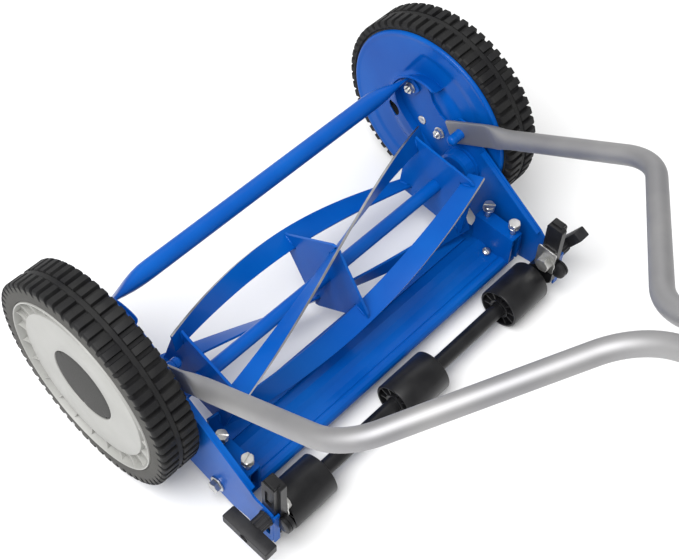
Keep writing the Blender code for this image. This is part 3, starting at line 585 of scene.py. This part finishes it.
def wheel_cover(name, side):
    """A pressed sheet disc with a pocket round the plate's lobe and a rolled rim."""
    place = name.split("_")[2]
    bm = bmesh.new()
    steps = 240
    radii = [9.0, 20.0, 32.0, 44.0, 52.0] + [56.0 + 1.6 * k for k in range(34)] + \
            [111.4, 112.2, 113.0, 113.7, 114.3, 114.7, COVER_R]
    rings = []
    for r in radii:
        points = []
        for i in range(steps):
            a = 2 * math.pi * i / steps
            y, z = r * math.cos(a), r * math.sin(a)
            points.append((side * cover_x(y, z), y, z))
        rings.append(ring(bm, points))
    rings.append(ring(bm, [(side * 241.9, v.co.y, v.co.z) for v in rings[-1]]))
    for first, second in zip(rings, rings[1:]):
        bridge(bm, first, second)
    obj = piece(name, bm, BLUE, "frame", name, smooth=50.0)
    thick = obj.modifiers.new("sheet", "SOLIDIFY")
    thick.thickness = 1.2 * MM
    thick.offset = 0.0
    holes = []
    for centre, r in ((REEL, 9.6), ((49.0, -19.5), 10.4)):
        hole = turned([(side * 228.0, r), (side * 250.0, r)], centre, 40)
        holes.append(hole)
    carve_kept(obj, holes)
    route = eased([(41.5, 38.0), (38.5, 46.0), (32.5, 55.5), (25.0, 62.5), (17.0, 67.5),
                   (8.0, 70.5), (0.0, 71.5), (-8.0, 71.5), (-15.0, 70.0), (-21.5, 66.0)])
    lip = [(0.0, -0.9), (0.55, -0.9), (0.86, -0.9), (0.89, -1.9), (0.94, -2.5), (0.985, -2.1),
           (1.0, -1.0), (1.0, 0.7), (0.90, 0.9), (0.55, 0.9), (0.0, 0.9)]
    stations = []
    for i, here in enumerate(route):
        before, after = route[max(i - 1, 0)], route[min(i + 1, len(route) - 1)]
        along = (after - before).normalized()
        normal = Vector((-along.y, along.x))
        share = i / (len(route) - 1)
        ends = max((share - 0.88) / 0.12, (0.06 - share) / 0.12, 0.0)
        reach = 21.4 * math.sqrt(max(1.0 - ends * ends, 0.02))
        inward = normal if (here + normal).length < here.length else -normal
        loop = []
        for depth, off in lip:
            lean = 9.0 * (1.0 - depth) ** 1.3 * smoothstep(share / 0.25)
            p = here + inward * (off + lean)
            loop.append((side * (240.8 - reach * depth), p.x, p.y))
        stations.append(loop)
    piece("hood_%s" % place, swept(stations), BLUE, "frame", bevel=0.7, rows=3, limit=40.0)
    return obj


def carve_kept(obj, cutters):
    """Applies a piece's own modifiers and then cuts holes in it."""
    done = flattened(obj)
    obj.modifiers.clear()
    obj.data = done
    carve(obj, *cutters)
    resharpen(obj, 50)


def plate_outline():
    """The side plate seen from its side, from its lobe back to its tail."""
    lobe = [(11.0, -13.0), (19.0, -6.5), (27.0, 0.5), (33.0, 8.0), (37.5, 16.0), (40.0, 25.0),
            (40.0, 34.0), (36.0, 45.0), (27.0, 54.0), (13.0, 60.0), (-1.0, 56.0), (-8.0, 48.0)]
    waist = [(-12.0, 39.0), (-25.0, 27.0), (-37.0, 22.0), (-52.0, 42.0), (-68.0, 42.0),
             (-94.0, 19.0)]
    tail = [(-187.0, -44.0), (-194.0, -51.0), (-220.5, -54.0), (-220.5, -111.5),
            (-189.0, -111.5), (-184.0, -108.0)]
    belly = [(-160.0, -112.0), (-97.0, -99.0), (-60.0, -69.0), (-20.0, -37.5)]
    return fillet(lobe + waist + tail + belly, 6.0, 4)


def side_plate(name, side):
    """A sheet plate with its holes, its height slot and three turned-in flanges."""
    thick = PLATE_OUT - PLATE_IN
    slot_low, slot_high = CLAMP.y - 30.0, CLAMP.y + 4.0
    slot = arc((CLAMP.x, slot_high), 4.5, 0, 180, 10) + arc((CLAMP.x, slot_low), 4.5, 180, 360, 10)
    holes = [arc(REEL, 9.5, 0, 360, 32)[:-1], arc(TIE_BOLT, 3.4, 0, 360, 16)[:-1],
             arc(COVER_BOLT, 3.4, 0, 360, 16)[:-1], arc(PIVOT, 4.4, 0, 360, 20)[:-1],
             arc((0.0, 0.0), 6.2, 0, 360, 24)[:-1], slot]
    bm = slab(plate_outline(), side * PLATE_IN, side * PLATE_OUT, holes)
    front = eased([(-30.0, -44.3), (-20.0, -36.2), (11.0, -11.5), (19.0, -5.0), (26.5, 2.0),
                   (32.0, 9.0), (36.5, 17.0), (38.8, 25.0), (39.0, 33.0)])
    join(bm, slab(wall_outline(front, thick), side * 222.0, side * (PLATE_OUT - 0.4)))
    start, end = Vector((-93.5, 18.0)), Vector((-187.5, -45.3))
    down = Vector(((end - start).y, -(end - start).x)).normalized()
    down = down if down.y < 0 else -down
    inset = down * (thick / 2 + 0.2)
    join(bm, slab(wall_outline([start + inset, end + inset], thick), side * 226.0,
                  side * (PLATE_OUT - 0.4)))
    join(bm, slab(wall_outline([(-221.6, -56.0), (-221.6, -109.5)], 2.2), side * 226.2,
                  side * (PLATE_OUT - 0.3)))
    return piece(name, bm, BLUE, "frame", name, bevel=0.55, rows=2, limit=40.0)


def oval(centre, across, up, a, b, power=2.0, sides=40):
    """Points round a rounded box: power 2 is an ellipse, more is squarer."""
    points = []
    for k in range(sides):
        t = 2 * math.pi * (k + 0.5) / sides
        c, s = math.cos(t), math.sin(t)
        points.append(centre + across * a * math.copysign(abs(c) ** (2 / power), c)
                      + up * b * math.copysign(abs(s) ** (2 / power), s))
    return points


def tie_rod():
    """The front spreader: a round tube pressed flat at each end and bolted down."""
    axis = Vector((0.0, 31.0, 52.0))
    foot = Vector((0.0, TIE_BOLT.x, TIE_BOLT.y))
    toward = (foot - axis).normalized()
    beside = Vector((0, -toward.z, toward.y))
    x_foot = PLATE_IN - 0.3 - 1.6
    # distance in from the foot, shift to the bolt, half-widths, squareness, strap's turn
    stations = [(0.0, 24.0, 1.5, 7.0, 2.6, 1.0), (0.0, 22.0, 1.5, 9.4, 3.0, 1.0),
                (0.0, 16.0, 1.5, 10.6, 4.0, 1.0), (0.0, 8.5, 1.5, 10.8, 4.0, 1.0),
                (0.4, 6.2, 1.55, 11.1, 4.0, 0.78), (1.2, 4.6, 1.7, 11.5, 4.0, 0.5),
                (3.4, 3.9, 1.75, 11.8, 4.0, 0.22), (8.0, 3.6, 1.8, 12.3, 4.0, 0.0),
                (13.0, 3.3, 2.2, 12.9, 3.6, 0.0), (20.0, 2.8, 3.6, 13.2, 3.0, 0.0),
                (28.0, 2.2, 5.6, 12.9, 2.6, 0.0), (37.0, 1.4, 7.8, 12.3, 2.2, 0.0),
                (47.0, 0.6, 9.5, 11.4, 2.0, 0.0), (57.0, 0.1, 10.4, 10.8, 2.0, 0.0),
                (68.0, 0.0, 10.6, 10.6, 2.0, 0.0), (120.0, 0.0, 10.6, 10.6, 2.0, 0.0)]
    rows = []
    for side in (-1, 1):
        out = Vector((side, 0, 0))
        part = []
        for inset, shift, a, b, power, turn in stations:
            x = x_foot - inset
            across = (out * turn - toward * (1 - turn)).normalized()
            part.append(oval(axis + Vector((side * x, 0, 0)) + toward * shift, across,
                             beside, a, b, power))
        rows += part if side < 0 else part[::-1]
    obj = piece("tie_rod_tube", swept(rows), BLUE, "frame", "tie_rod", smooth=50.0)
    holes = [turned([(side * (x_foot - 5), 3.4), (side * (x_foot + 5), 3.4)], TIE_BOLT, 20)
             for side in (-1, 1)]
    carve(obj, *holes)
    resharpen(obj, 50)


def handle_stud(name, side):
    """The blue peg that the handle turns on, grooved for its clip, with a round end."""
    dome = [(206.2 + 4.2 * (1 - math.cos(math.radians(a))), 6.2 * math.sin(math.radians(a)))
            for a in (0, 20, 40, 60, 78, 90)]
    profile = dome + [(214.6, 6.2), (214.9, 5.5), (216.4, 5.5), (216.7, 6.2), (224.6, 6.2),
                      (225.0, 6.6), (225.6, 6.6), (226.0, 6.2), (231.2, 6.2)]
    return piece(name, turned(mirrored(profile, side), STUD, 40), BLUE, "frame", name, smooth=30.0)


def axle(name, side):
    """The pin that a wheel turns on, staked over at its inner end."""
    profile = [(230.7, 0.0), (230.7, 2.4), (230.3, 4.2), (230.6, 5.6), (231.4, 6.0), (236.6, 6.0),
               (236.6, 9.0), (240.0, 9.0), (240.0, 6.6), (279.4, 6.6), (279.4, 11.0), (281.4, 11.0),
               (281.4, 4.0), (283.0, 4.0), (283.0, 0.0)]
    return piece(name, turned(mirrored(profile, side), segments=40), ZINC, "frame", name,
                 smooth=30.0)


# ---------------------------------------------------------------- reel

BLADE_END, SPIDER_X = 199.5, 185.0
BLADE_W, BLADE_T = 25.0, 3.0
TWIST, LEAN, PHASE, REEL_R = -51.0 / 185.0, 15.0, 12.6, 72.0


def blade_frame(index, x):
    """Middle of a blade's strip at x, with the directions across and through it."""
    middle = REEL_R - BLADE_W / 2 * math.cos(math.radians(LEAN)) - 0.5
    a = math.radians(PHASE + 90.0 * index + TWIST * x)
    lean = a + math.radians(LEAN)
    centre = Vector((x, REEL.x + middle * math.cos(a), REEL.y + middle * math.sin(a)))
    return centre, *spoke_axes(lean)


def blade(index):
    """A helical strip, painted on both faces and ground bright along its edge."""
    w, t = BLADE_W / 2, BLADE_T / 2
    outline = [(-w, -t + 0.4), (-w + 0.4, -t), (0.0, -t), (w - 1.6, -t), (w - 0.1, -t + 0.1),
               (w, -t + 0.3), (w, t - 0.2), (w - 0.1, t - 0.05), (w - 0.6, t), (0.0, t),
               (-w + 0.4, t), (-w, t - 0.4)]
    stations = []
    steps = 90
    for i in range(steps + 1):
        x = -BLADE_END + 2 * BLADE_END * i / steps
        centre, across, through = blade_frame(index, x)
        stations.append([centre + across * a + through * b for a, b in outline])
    bm = swept(stations, mat_of=lambda k: 1 if k in (4, 5, 6) else 0)
    return piece("blade_strip_%d" % (index + 1), bm, (BLUE, STEEL), "reel",
                 "blade_%d" % (index + 1), smooth=28.0)


def weld_bead(bm, start, end, radius, seed):
    """A lumpy bead of weld metal from one point to another."""
    stations = []
    along = end - start
    across = along.orthogonal().normalized()
    up = along.normalized().cross(across)
    steps = 14
    for i in range(steps + 1):
        t = i / steps
        swell = math.sin(math.pi * min(max(t, 0.03), 0.97)) ** 0.35
        lump = (1.0 + 0.16 * math.sin(9.0 * t * math.pi + seed)
                + 0.07 * math.sin(23.0 * t + seed * 3))
        stations.append(oval(start.lerp(end, t), across, up, radius * swell * lump,
                             radius * swell * lump, 2.0, 12))
    swept(stations, bm=bm)


def welds():
    """Beads where each blade meets each spider."""
    bm = bmesh.new()
    for number, x in enumerate((-SPIDER_X, 0.0, SPIDER_X)):
        for index in range(4):
            for face in (-1, 1):
                centre, across, through = blade_frame(index, x + face * 1.6)
                for flank in (-1, 1):
                    offset = through * flank * 2.0
                    low, high = (-9.0, 2.5) if flank < 0 else (-7.0, 5.0)
                    weld_bead(bm, centre + across * low + offset, centre + across * high + offset,
                              1.5, number * 7.0 + index * 1.7 + face + flank)
    return piece("reel_welds", bm, BLUE, "reel", smooth=60.0)


def shaft():
    """The reel's bar, chamfered at both ends."""
    profile = [(-249.0, 0.0), (-249.0, 7.0), (-248.0, 8.0), (248.0, 8.0), (249.0, 7.0),
               (249.0, 0.0)]
    bm = turned(profile, REEL, 48)
    return piece("reel_shaft_bar", bm, BLUE, "reel", "reel_shaft", smooth=30.0)


# ---------------------------------------------------------------- rollers

ROLLERS = (("left", -207.0, -147.0), ("middle", -32.0, 32.0), ("right", 147.0, 207.0))
ROLLER_R, ROLLER_RIBS = 25.5, 10
WASHER_X, CLAMP_SEAT = 215.0, 216.7
KNOB_LONG, KNOB_WIDE, STEM_R = 31.0, 6.5, 8.4
KNOB_TILT = {"left": 0.0, "right": -62.0}


def clamp_washer(place, side):
    """The plated bracket washer between the clamp screw and the block."""
    y, z = CLAMP
    outline = fillet([(y - 12.0, z - 14.0), (y + 14.0, z - 14.0), (y + 14.0, z + 22.0),
                      (y - 12.0, z + 22.0)], 3.0, 4)
    bm = slab(outline, side * WASHER_X, side * CLAMP_SEAT, [arc((y, z), 4.4, 0, 360, 20)[:-1]])
    return piece("clamp_plate_" + place, bm, ZINC, "roller_carriage", bevel=0.4, limit=40.0)


def roller(place, x0, x1):
    """A moulded roller: shell, deep ends with ten ribs round a sleeve."""
    r, bore, deep = ROLLER_R, 9.4, 7.0
    profile = [(x0 + 0.8, bore), (x0 + 0.6, bore + 2.6), (x0 + 0.9, bore + 3.0),
               (x0 + deep, bore + 3.2),
               (x0 + deep, r - 3.0), (x0 + 0.4, r - 2.8), (x0, r - 2.3), (x0, r - 1.0),
               (x0 + 0.35, r - 0.35), (x0 + 1.0, r), (x1 - 1.0, r), (x1 - 0.35, r - 0.35),
               (x1, r - 1.0), (x1, r - 2.3), (x1 - 0.4, r - 2.8), (x1 - deep, r - 3.0),
               (x1 - deep, bore + 3.2), (x1 - 0.9, bore + 3.0), (x1 - 0.6, bore + 2.6),
               (x1 - 0.8, bore)]
    bm = turned(profile, ROD, 72, closed=True)
    for end, inward in ((x0, 1), (x1, -1)):
        for k in range(ROLLER_RIBS):
            a = math.radians(360.0 / ROLLER_RIBS * k + 20.0)
            radial, across = spoke_axes(a)
            base = Vector((0, ROD.x, ROD.y))
            stations = []
            for rr in (bore + 2.4, r - 2.6):
                stations.append([
                    base + radial * rr + across * s * 0.8 + Vector((end + inward * d, 0, 0))
                    for s, d in ((-1, deep + 1.0), (-1, 1.8), (1, 1.8), (1, deep + 1.0))])
            swept(stations, bm=bm)
    return piece("roller_shell_%s" % place, bm, BLACK, "roller_%s" % place, "roller_%s" % place,
                 smooth=35.0)


def roller_rod():
    """The rod, with collars beside the rollers."""
    profile = [(-229.0, 0.0), (-229.0, 5.0), (-228.0, 6.0), (-216.0, 6.0), (-216.0, 8.4),
               (-215.4, 9.0)]
    profile += [(-x, r) for x, r in profile[::-1]]
    return piece("roller_rod_bar", turned(profile, ROD, 48), BLACK, "roller_carriage",
                 "roller_rod", smooth=30.0)


def guide_block(name, side):
    """The moulded block: a stepped head, a panel, a window, and a ring round the rod."""
    place = name.split("_")[2]
    y, z = ROD
    front, back, top = CLAMP.x + 9.5, CLAMP.x - 11.5, -5.0
    edge = -219.9
    holes = [arc((y, z), 6.2, 0, 360, 28)[:-1], arc(CLAMP, 4.2, 0, 360, 20)[:-1]]
    bm = bmesh.new()
    for rear, start, end in ((back, 217.0, 225.4), (edge, 225.2, 231.2)):
        outline = arc((y, z), 14.0, 200, 370, 18) + [
            (y + 13.0, z + 8.0), (front, z + 22.0), (front, top - 2.0), (front - 2.0, top),
            (rear + 2.0, top), (rear, top - 2.0), (rear, z + 4.0)]
        join(bm, slab(fillet(outline, 2.5, 3), side * start, side * end, holes))
    head = fillet([(front - 1.5, -40.0), (front - 1.5, top + 2.2), (edge + 1.0, top + 2.2),
                   (edge + 1.0, -40.0)], 1.5, 3)
    piece("block_head_" + place, slab(head, side * 221.5, side * 229.5), BLACK, "roller_carriage",
          bevel=0.5, rows=2, limit=40.0)
    boss = [(218.0, 0.0), (218.0, 9.6), (218.6, 10.8), (219.8, 11.2), (222.6, 11.2), (222.9, 10.2),
            (224.2, 10.2), (224.5, 11.2), (227.0, 11.0), (227.6, 10.0), (227.6, 0.0)]
    cap = turned(mirrored(boss, side), (CLAMP.x - 14.5, CLAMP.y - 7.0), segments=48)
    piece("block_cap_" + place, cap, BLACK, "roller_carriage", smooth=35.0)
    obj = piece(name, bm, BLACK, "roller_carriage", name, bevel=0.6, rows=2, limit=40.0)
    window = box(sorted((side * 223.0, side * 232.5)), (edge + 3.4, front - 4.6), (-44.0, -18.0))
    bmesh.ops.bevel(window, geom=window.edges[:], offset=1.2, segments=2, affect="EDGES")
    panel = box(sorted((side * 216.0, side * 218.0)), (back + 3.0, front - 3.0), (-43.0, -10.0))
    carve(obj, window, panel, overlapping=True)
    return obj


def clamp_knob(name, side):
    """A T-bar knob with a small well in its face and a ribbed stem."""
    place = name.split("_")[2]
    inner, outer = PLATE_OUT + 16.0, PLATE_OUT + 32.0
    bm = bmesh.new()
    rows = []
    for x, grow in ((inner, -0.6), (inner + 1.0, -0.1), (inner + 9.0, 0.1), (outer - 0.8, 0.0),
                    (outer, -0.6)):
        a, b = KNOB_LONG + grow, KNOB_WIDE + grow
        loop = fillet([(-a, -b), (a, -b), (a, b), (-a, b)], 1.4, 4)
        rows.append([Vector((side * x, p.x, p.y)) for p in loop])
    swept(rows, bm=bm)
    bm.transform(Matrix.Rotation(math.radians(KNOB_TILT[place]), 4, "X"))
    bm.transform(Matrix.Translation((0, CLAMP.x, CLAMP.y)))
    obj = piece(name, bm, KNOB, "%s_knob" % place, name, bevel=0.5, rows=2, limit=40.0)
    well = turned([(side * (outer - 7.5), 4.6), (side * (outer + 2.0), 5.4)], CLAMP, 28)
    bore = turned([(side * (PLATE_OUT - 3.0), 4.3), (side * (outer - 8.5), 4.3)], CLAMP, 24)
    carve(obj, well, bore)
    bm = bmesh.new()
    rows = []
    for x, scale in ((PLATE_OUT + 0.3, 1.08), (PLATE_OUT + 2.4, 1.08), (PLATE_OUT + 2.8, 0.98),
                     (inner + 1.0, 0.98)):
        loop = []
        for i in range(96):
            t = 2 * math.pi * i / 96
            r = (STEM_R + 0.5 * math.cos(12 * t)) * scale
            loop.append((side * x, CLAMP.x + r * math.cos(t), CLAMP.y + r * math.sin(t)))
        rows.append(ring(bm, loop))
    skinned(bm, rows)
    stem = piece("knob_stem_%s" % place, bm, KNOB, "%s_knob" % place, smooth=30.0)
    carve(stem, turned([(side * (PLATE_OUT - 3.0), 4.3), (side * (outer - 8.5), 4.3)], CLAMP, 24))
    resharpen(stem, 30)


# ---------------------------------------------------------------- handle

RISE = math.radians(32.3)
ALONG = Vector((0, -math.cos(RISE), math.sin(RISE)))
UP = Vector((0, math.sin(RISE), math.cos(RISE)))
TUBE_R, LOWER_X, FLAT_X, NECK_X = 11.0, 226.0, 228.0, 17.5
CLAMP_BOLTS_ALONG, GRIP_ALONG = (545.0, 615.0), 1050.0


def handle_point(along, x):
    """A point of the handle's plane, from its distance along the handle and its X."""
    return Vector((x, STUD.x, STUD.y)) + ALONG * along


def bent(corners, radius):
    """Rounds each inner corner of an (along, x) route by an arc, with even spacing."""
    steps = 14
    points = [Vector(corners[0])]
    for before, corner, after in zip(corners, corners[1:], corners[2:]):
        before, corner, after = Vector(before), Vector(corner), Vector(after)
        into, out = (corner - before).normalized(), (after - corner).normalized()
        turn = into.angle(out)
        start = corner - into * radius * math.tan(turn / 2)
        side = 1 if into.x * out.y - into.y * out.x > 0 else -1
        normal = Vector((-into.y, into.x)) * side
        for i in range(steps + 1):
            a = turn * i / steps
            points.append(start + normal * radius + into * radius * math.sin(a)
                          - normal * radius * math.cos(a))
    points.append(Vector(corners[-1]))
    return points


def tube(points, sizes):
    """Rings of a tube along (along, x) points; sizes are two half-widths and a power."""
    rows = []
    for i, p in enumerate(points):
        back, front = points[max(i - 1, 0)], points[min(i + 1, len(points) - 1)]
        d = (front - back).normalized()
        across = Vector((d.x, 0, 0)) - ALONG * d.y
        rows.append(oval(handle_point(p.x, p.y), across, UP, *sizes[i]))
    return swept(rows)


def lower_tube(name, side):
    """One lower tube, pressed flat where it sits on its stud."""
    corners = [(88.0, side * LOWER_X), (279.0, side * LOWER_X), (436.0, side * NECK_X),
               (640.0, side * NECK_X)]
    flat, sizes = [], []
    # distance along, half-widths, squareness
    for s, a, b, power in ((-19.0, 2.0, 14.7, 6.0), (-18.0, 2.0, 15.4, 6.0), (43.0, 2.0, 15.5, 6.0),
                           (48.0, 2.5, 15.5, 5.0), (53.0, 4.0, 15.2, 4.0), (59.0, 6.2, 14.4, 3.0),
                           (66.0, 8.6, 13.0, 2.4), (74.0, 10.3, 11.7, 2.1),
                           (81.0, 10.9, 11.1, 2.0)):
        flat.append(Vector((s, side * (FLAT_X - 2.0 * smoothstep((s - 36.0) / 42.0)))))
        sizes.append((a, b, power))
    bends = bent(corners, 75.0)
    sizes += [(TUBE_R, TUBE_R, 2.0)] * len(bends)
    obj = piece(name, tube(flat + bends, sizes), ALLOY, "handle", name, smooth=40.0)
    hole = turned([(side * (FLAT_X - 9), 6.6), (side * (FLAT_X + 9), 6.6)], STUD, 32)
    carve(obj, hole, *clamp_cutters())
    resharpen(obj, 40)
    return obj


def clamp_cutters():
    """Bores for the two bolts through the joined tubes."""
    cutters = []
    for along in CLAMP_BOLTS_ALONG:
        p = handle_point(along, 0)
        cutters.append(turned([(-60.0, 3.4), (60.0, 3.4)], (p.y, p.z), 20))
    return cutters


def upper_tube(name, side):
    """One upper tube, beside its lower tube and bent out to the grip."""
    x = NECK_X + 2 * TUBE_R + 0.6
    bends = bent([(520.0, side * x), (GRIP_ALONG, side * x), (GRIP_ALONG, side * 235.0)], 67.5)
    obj = piece(name, tube(bends, [(TUBE_R, TUBE_R, 2.0)] * len(bends)), ALLOY, "handle", name,
                smooth=40.0)
    carve(obj, *clamp_cutters())
    resharpen(obj, 40)
    return obj


def grip(name, side):
    """A foam sleeve with a rounded closed end and shallow finger rings."""
    p = handle_point(GRIP_ALONG, 0)
    start, end, bore = 113.0, 239.0, 11.3
    profile = [(235.5, 0.0), (235.5, bore), (start, bore), (start, 14.2), (start + 0.8, 15.2),
               (start + 2.2, 15.8)]
    for k in range(1, 40):
        x = start + 3.0 + (end - start - 7.0) * k / 40
        profile.append((x, 15.8 + 0.2 * math.cos(k * math.pi / 3)))
    profile += [(end - 3.2, 15.8), (end - 1.4, 15.0), (end - 0.4, 13.2), (end, 10.0), (end, 0.0)]
    bm = turned(mirrored(profile, side), (p.y, p.z), 56)
    obj = piece(name, bm, FOAM, "handle", name, smooth=40.0)
    return obj


# ---------------------------------------------------------------- assembly

for place, side in SIDES:
    tyre("tyre_" + place, side).name = "tyre_tread_" + place
    wheel("wheel_" + place, side).name = "wheel_disc_" + place
    hub_cap("hub_cap_" + place, side).name = "hub_dish_" + place
    wheel_cover("wheel_cover_" + place, side).name = "cover_sheet_" + place
    side_plate("side_plate_" + place, side).name = "plate_sheet_" + place
    handle_stud("handle_stud_" + place, side).name = "handle_peg_" + place
    axle("axle_" + place, side).name = "axle_pin_" + place
    guide_block("guide_block_" + place, side).name = "block_" + place
    clamp_knob("clamp_knob_" + place, side)
    lower_tube("handle_lower_" + place, side).name = "tube_lower_" + place
    upper_tube("handle_upper_" + place, side).name = "tube_upper_" + place
    grip("grip_" + place, side).name = "grip_sleeve_" + place

    inner = PLATE_IN - 0.3
    screw("tie_screw_" + place, "frame", "tie_rod_bolt_" + place, (-side, 0, 0),
          (side * (inner - 3.5), *TIE_BOLT), 11.0, 4.6, (7.0, 1.2), 3.0, 6.6, 0.3, proud=2.8)
    screw("cover_screw_" + place, "frame", "cover_bolt_" + place, (-side, 0, 0),
          (side * inner, *COVER_BOLT), 11.0, 4.8, (7.5, 1.2), 3.0, 3.0, 0.15, proud=3.0)
    screw("pivot_screw_" + place, "frame", "pivot_bolt_" + place, (side, 0, 0),
          (side * (PLATE_OUT + 0.3), *PIVOT), 13.0, 6.2, (9.5, 1.8), 4.0, 16.3, 0.2)
    screw("clamp_screw_" + place, "roller_carriage", "clamp_stud_" + place, (-side, 0, 0),
          (side * CLAMP_SEAT, *CLAMP), 17.0, 7.6, (13.0, 1.8), 4.0, 40.8, 0.25)
    clamp_washer(place, side)
    for order, turn in (("front", 0.7), ("rear", 1.9)):
        node = "screw_%s_%s" % (order, place)
        low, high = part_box(node)
        mid = (low + high) / 2 / MM
        seat = (mid.x, mid.y - ORIGIN.x, high.z / MM - ORIGIN.y - 7.5)
        screw("adjuster_%s_%s" % (order, place), "cutter", node, (0, 0, 1), seat, 13.0, 6.4,
              (6.8, 1.1), 3.1, 30.5, 0.4 * turn, 1.6, turn)

    knife_screw(place, side)

tie_rod()
for index in range(4):
    blade(index)
welds()
shaft()
roller_rod()
for place, x0, x1 in ROLLERS:
    roller(place, x0, x1)

KEPT = {"cutter_bar": (BLUE, 0.5), "bed_knife": (BLUE, 0.25), "spider_left": (BLUE, 0.4),
        "spider_middle": (BLUE, 0.4), "spider_right": (BLUE, 0.4),
        "bearing_housing_left": (BLUE, 0.5), "bearing_housing_right": (BLUE, 0.5),
        "clamp_bolt_lower": (ZINC, 0.3), "clamp_bolt_upper": (ZINC, 0.3),
        "pinion_left": (ZINC, 0.3), "pinion_right": (ZINC, 0.3),
        "pawl_left": (ZINC, 0.3), "pawl_right": (ZINC, 0.3)}
for node, (mat, width) in KEPT.items():
    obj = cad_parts[node]
    obj.data.materials.clear()
    obj.data.materials.append(mat)
    for face in obj.data.polygons:
        face.material_index = 0
    soften(obj, width, 2, 38.0)

# ---------------------------------------------------------------- stage

FLOOR_HALF, FLOOR_CELLS, FLOOR_DROP = 12.0, 8, 0.0005
KEY_OFFSET, KEY_SIZE, KEY_POWER = Vector((-1.3, -0.2, 2.3)), 2.1, 92.0
FILL_OFFSET, FILL_SIZE, FILL_POWER = Vector((1.6, 1.4, 1.9)), 2.4, 12.0
SKY_STRENGTH = 0.60
LENS, SENSOR, SHIFT_Y = 70.10, 36.0, -0.0884
EYE = (-632.07, -645.49, 1156.42)
LOOK, ABOVE = (0.46360662, 0.41325864, -0.78376412), (0.55349769, 0.55566178, 0.62038721)


def floor():
    """A plain pale floor, just under the tyres."""
    bm = bmesh.new()
    marks = [-FLOOR_HALF + 2 * FLOOR_HALF * i / FLOOR_CELLS for i in range(FLOOR_CELLS + 1)]
    rows = [ring(bm, [(x, y, 0.0) for x in marks]) for y in marks]
    for first, second in zip(rows, rows[1:]):
        for i in range(FLOOR_CELLS):
            bm.faces.new((first[i], first[i + 1], second[i + 1], second[i]))
    mesh = bpy.data.meshes.new("floor")
    bm.to_mesh(mesh)
    bm.free()
    mesh.materials.append(surface("floor_pale", (0.86, 0.86, 0.86), (0.88, 0.88, 0.88), 0.8, 0.05,
                                  2.0, 20.0, 0.0, specular=0.1))
    obj = link("floor", mesh)
    obj.location.z = -FLOOR_DROP


def soft_light(name, place, target, size, power):
    """A round area light turned towards a target."""
    lamp = bpy.data.lights.new(name, "AREA")
    lamp.shape = "DISK"
    lamp.size = size
    lamp.energy = power
    obj = link(name, lamp)
    obj.location = place
    obj.rotation_euler = (Vector(target) - Vector(place)).to_track_quat("-Z", "Y").to_euler()


floor()
middle = Vector((0.0, ORIGIN.x * MM, ORIGIN.y * MM))
soft_light("key", middle + KEY_OFFSET, middle, KEY_SIZE, KEY_POWER)
soft_light("fill", middle + FILL_OFFSET, middle, FILL_SIZE, FILL_POWER)
world = bpy.data.worlds.new("studio")
world.use_nodes = True
sky = world.node_tree.nodes["Background"]
sky.inputs["Color"].default_value = (1.0, 1.0, 1.0, 1.0)
sky.inputs["Strength"].default_value = SKY_STRENGTH
bpy.context.scene.world = world
bpy.context.scene.view_settings.view_transform = "Standard"

camera = bpy.data.cameras.new("camera")
camera.lens, camera.sensor_width = LENS, SENSOR
camera.shift_x, camera.shift_y = 0.0, SHIFT_Y
camera.clip_end = 50.0
camera_object = link("camera", camera)
look = Vector(LOOK).normalized()
above = Vector(ABOVE).normalized()
right = look.cross(above).normalized()
above = right.cross(look)
turn = Matrix((right, above, -look)).transposed().to_4x4()
eye = Vector((EYE[0], EYE[1] + ORIGIN.x, EYE[2] + ORIGIN.y)) * MM
camera_object.matrix_world = Matrix.Translation(eye) @ turn
bpy.context.scene.camera = camera_object
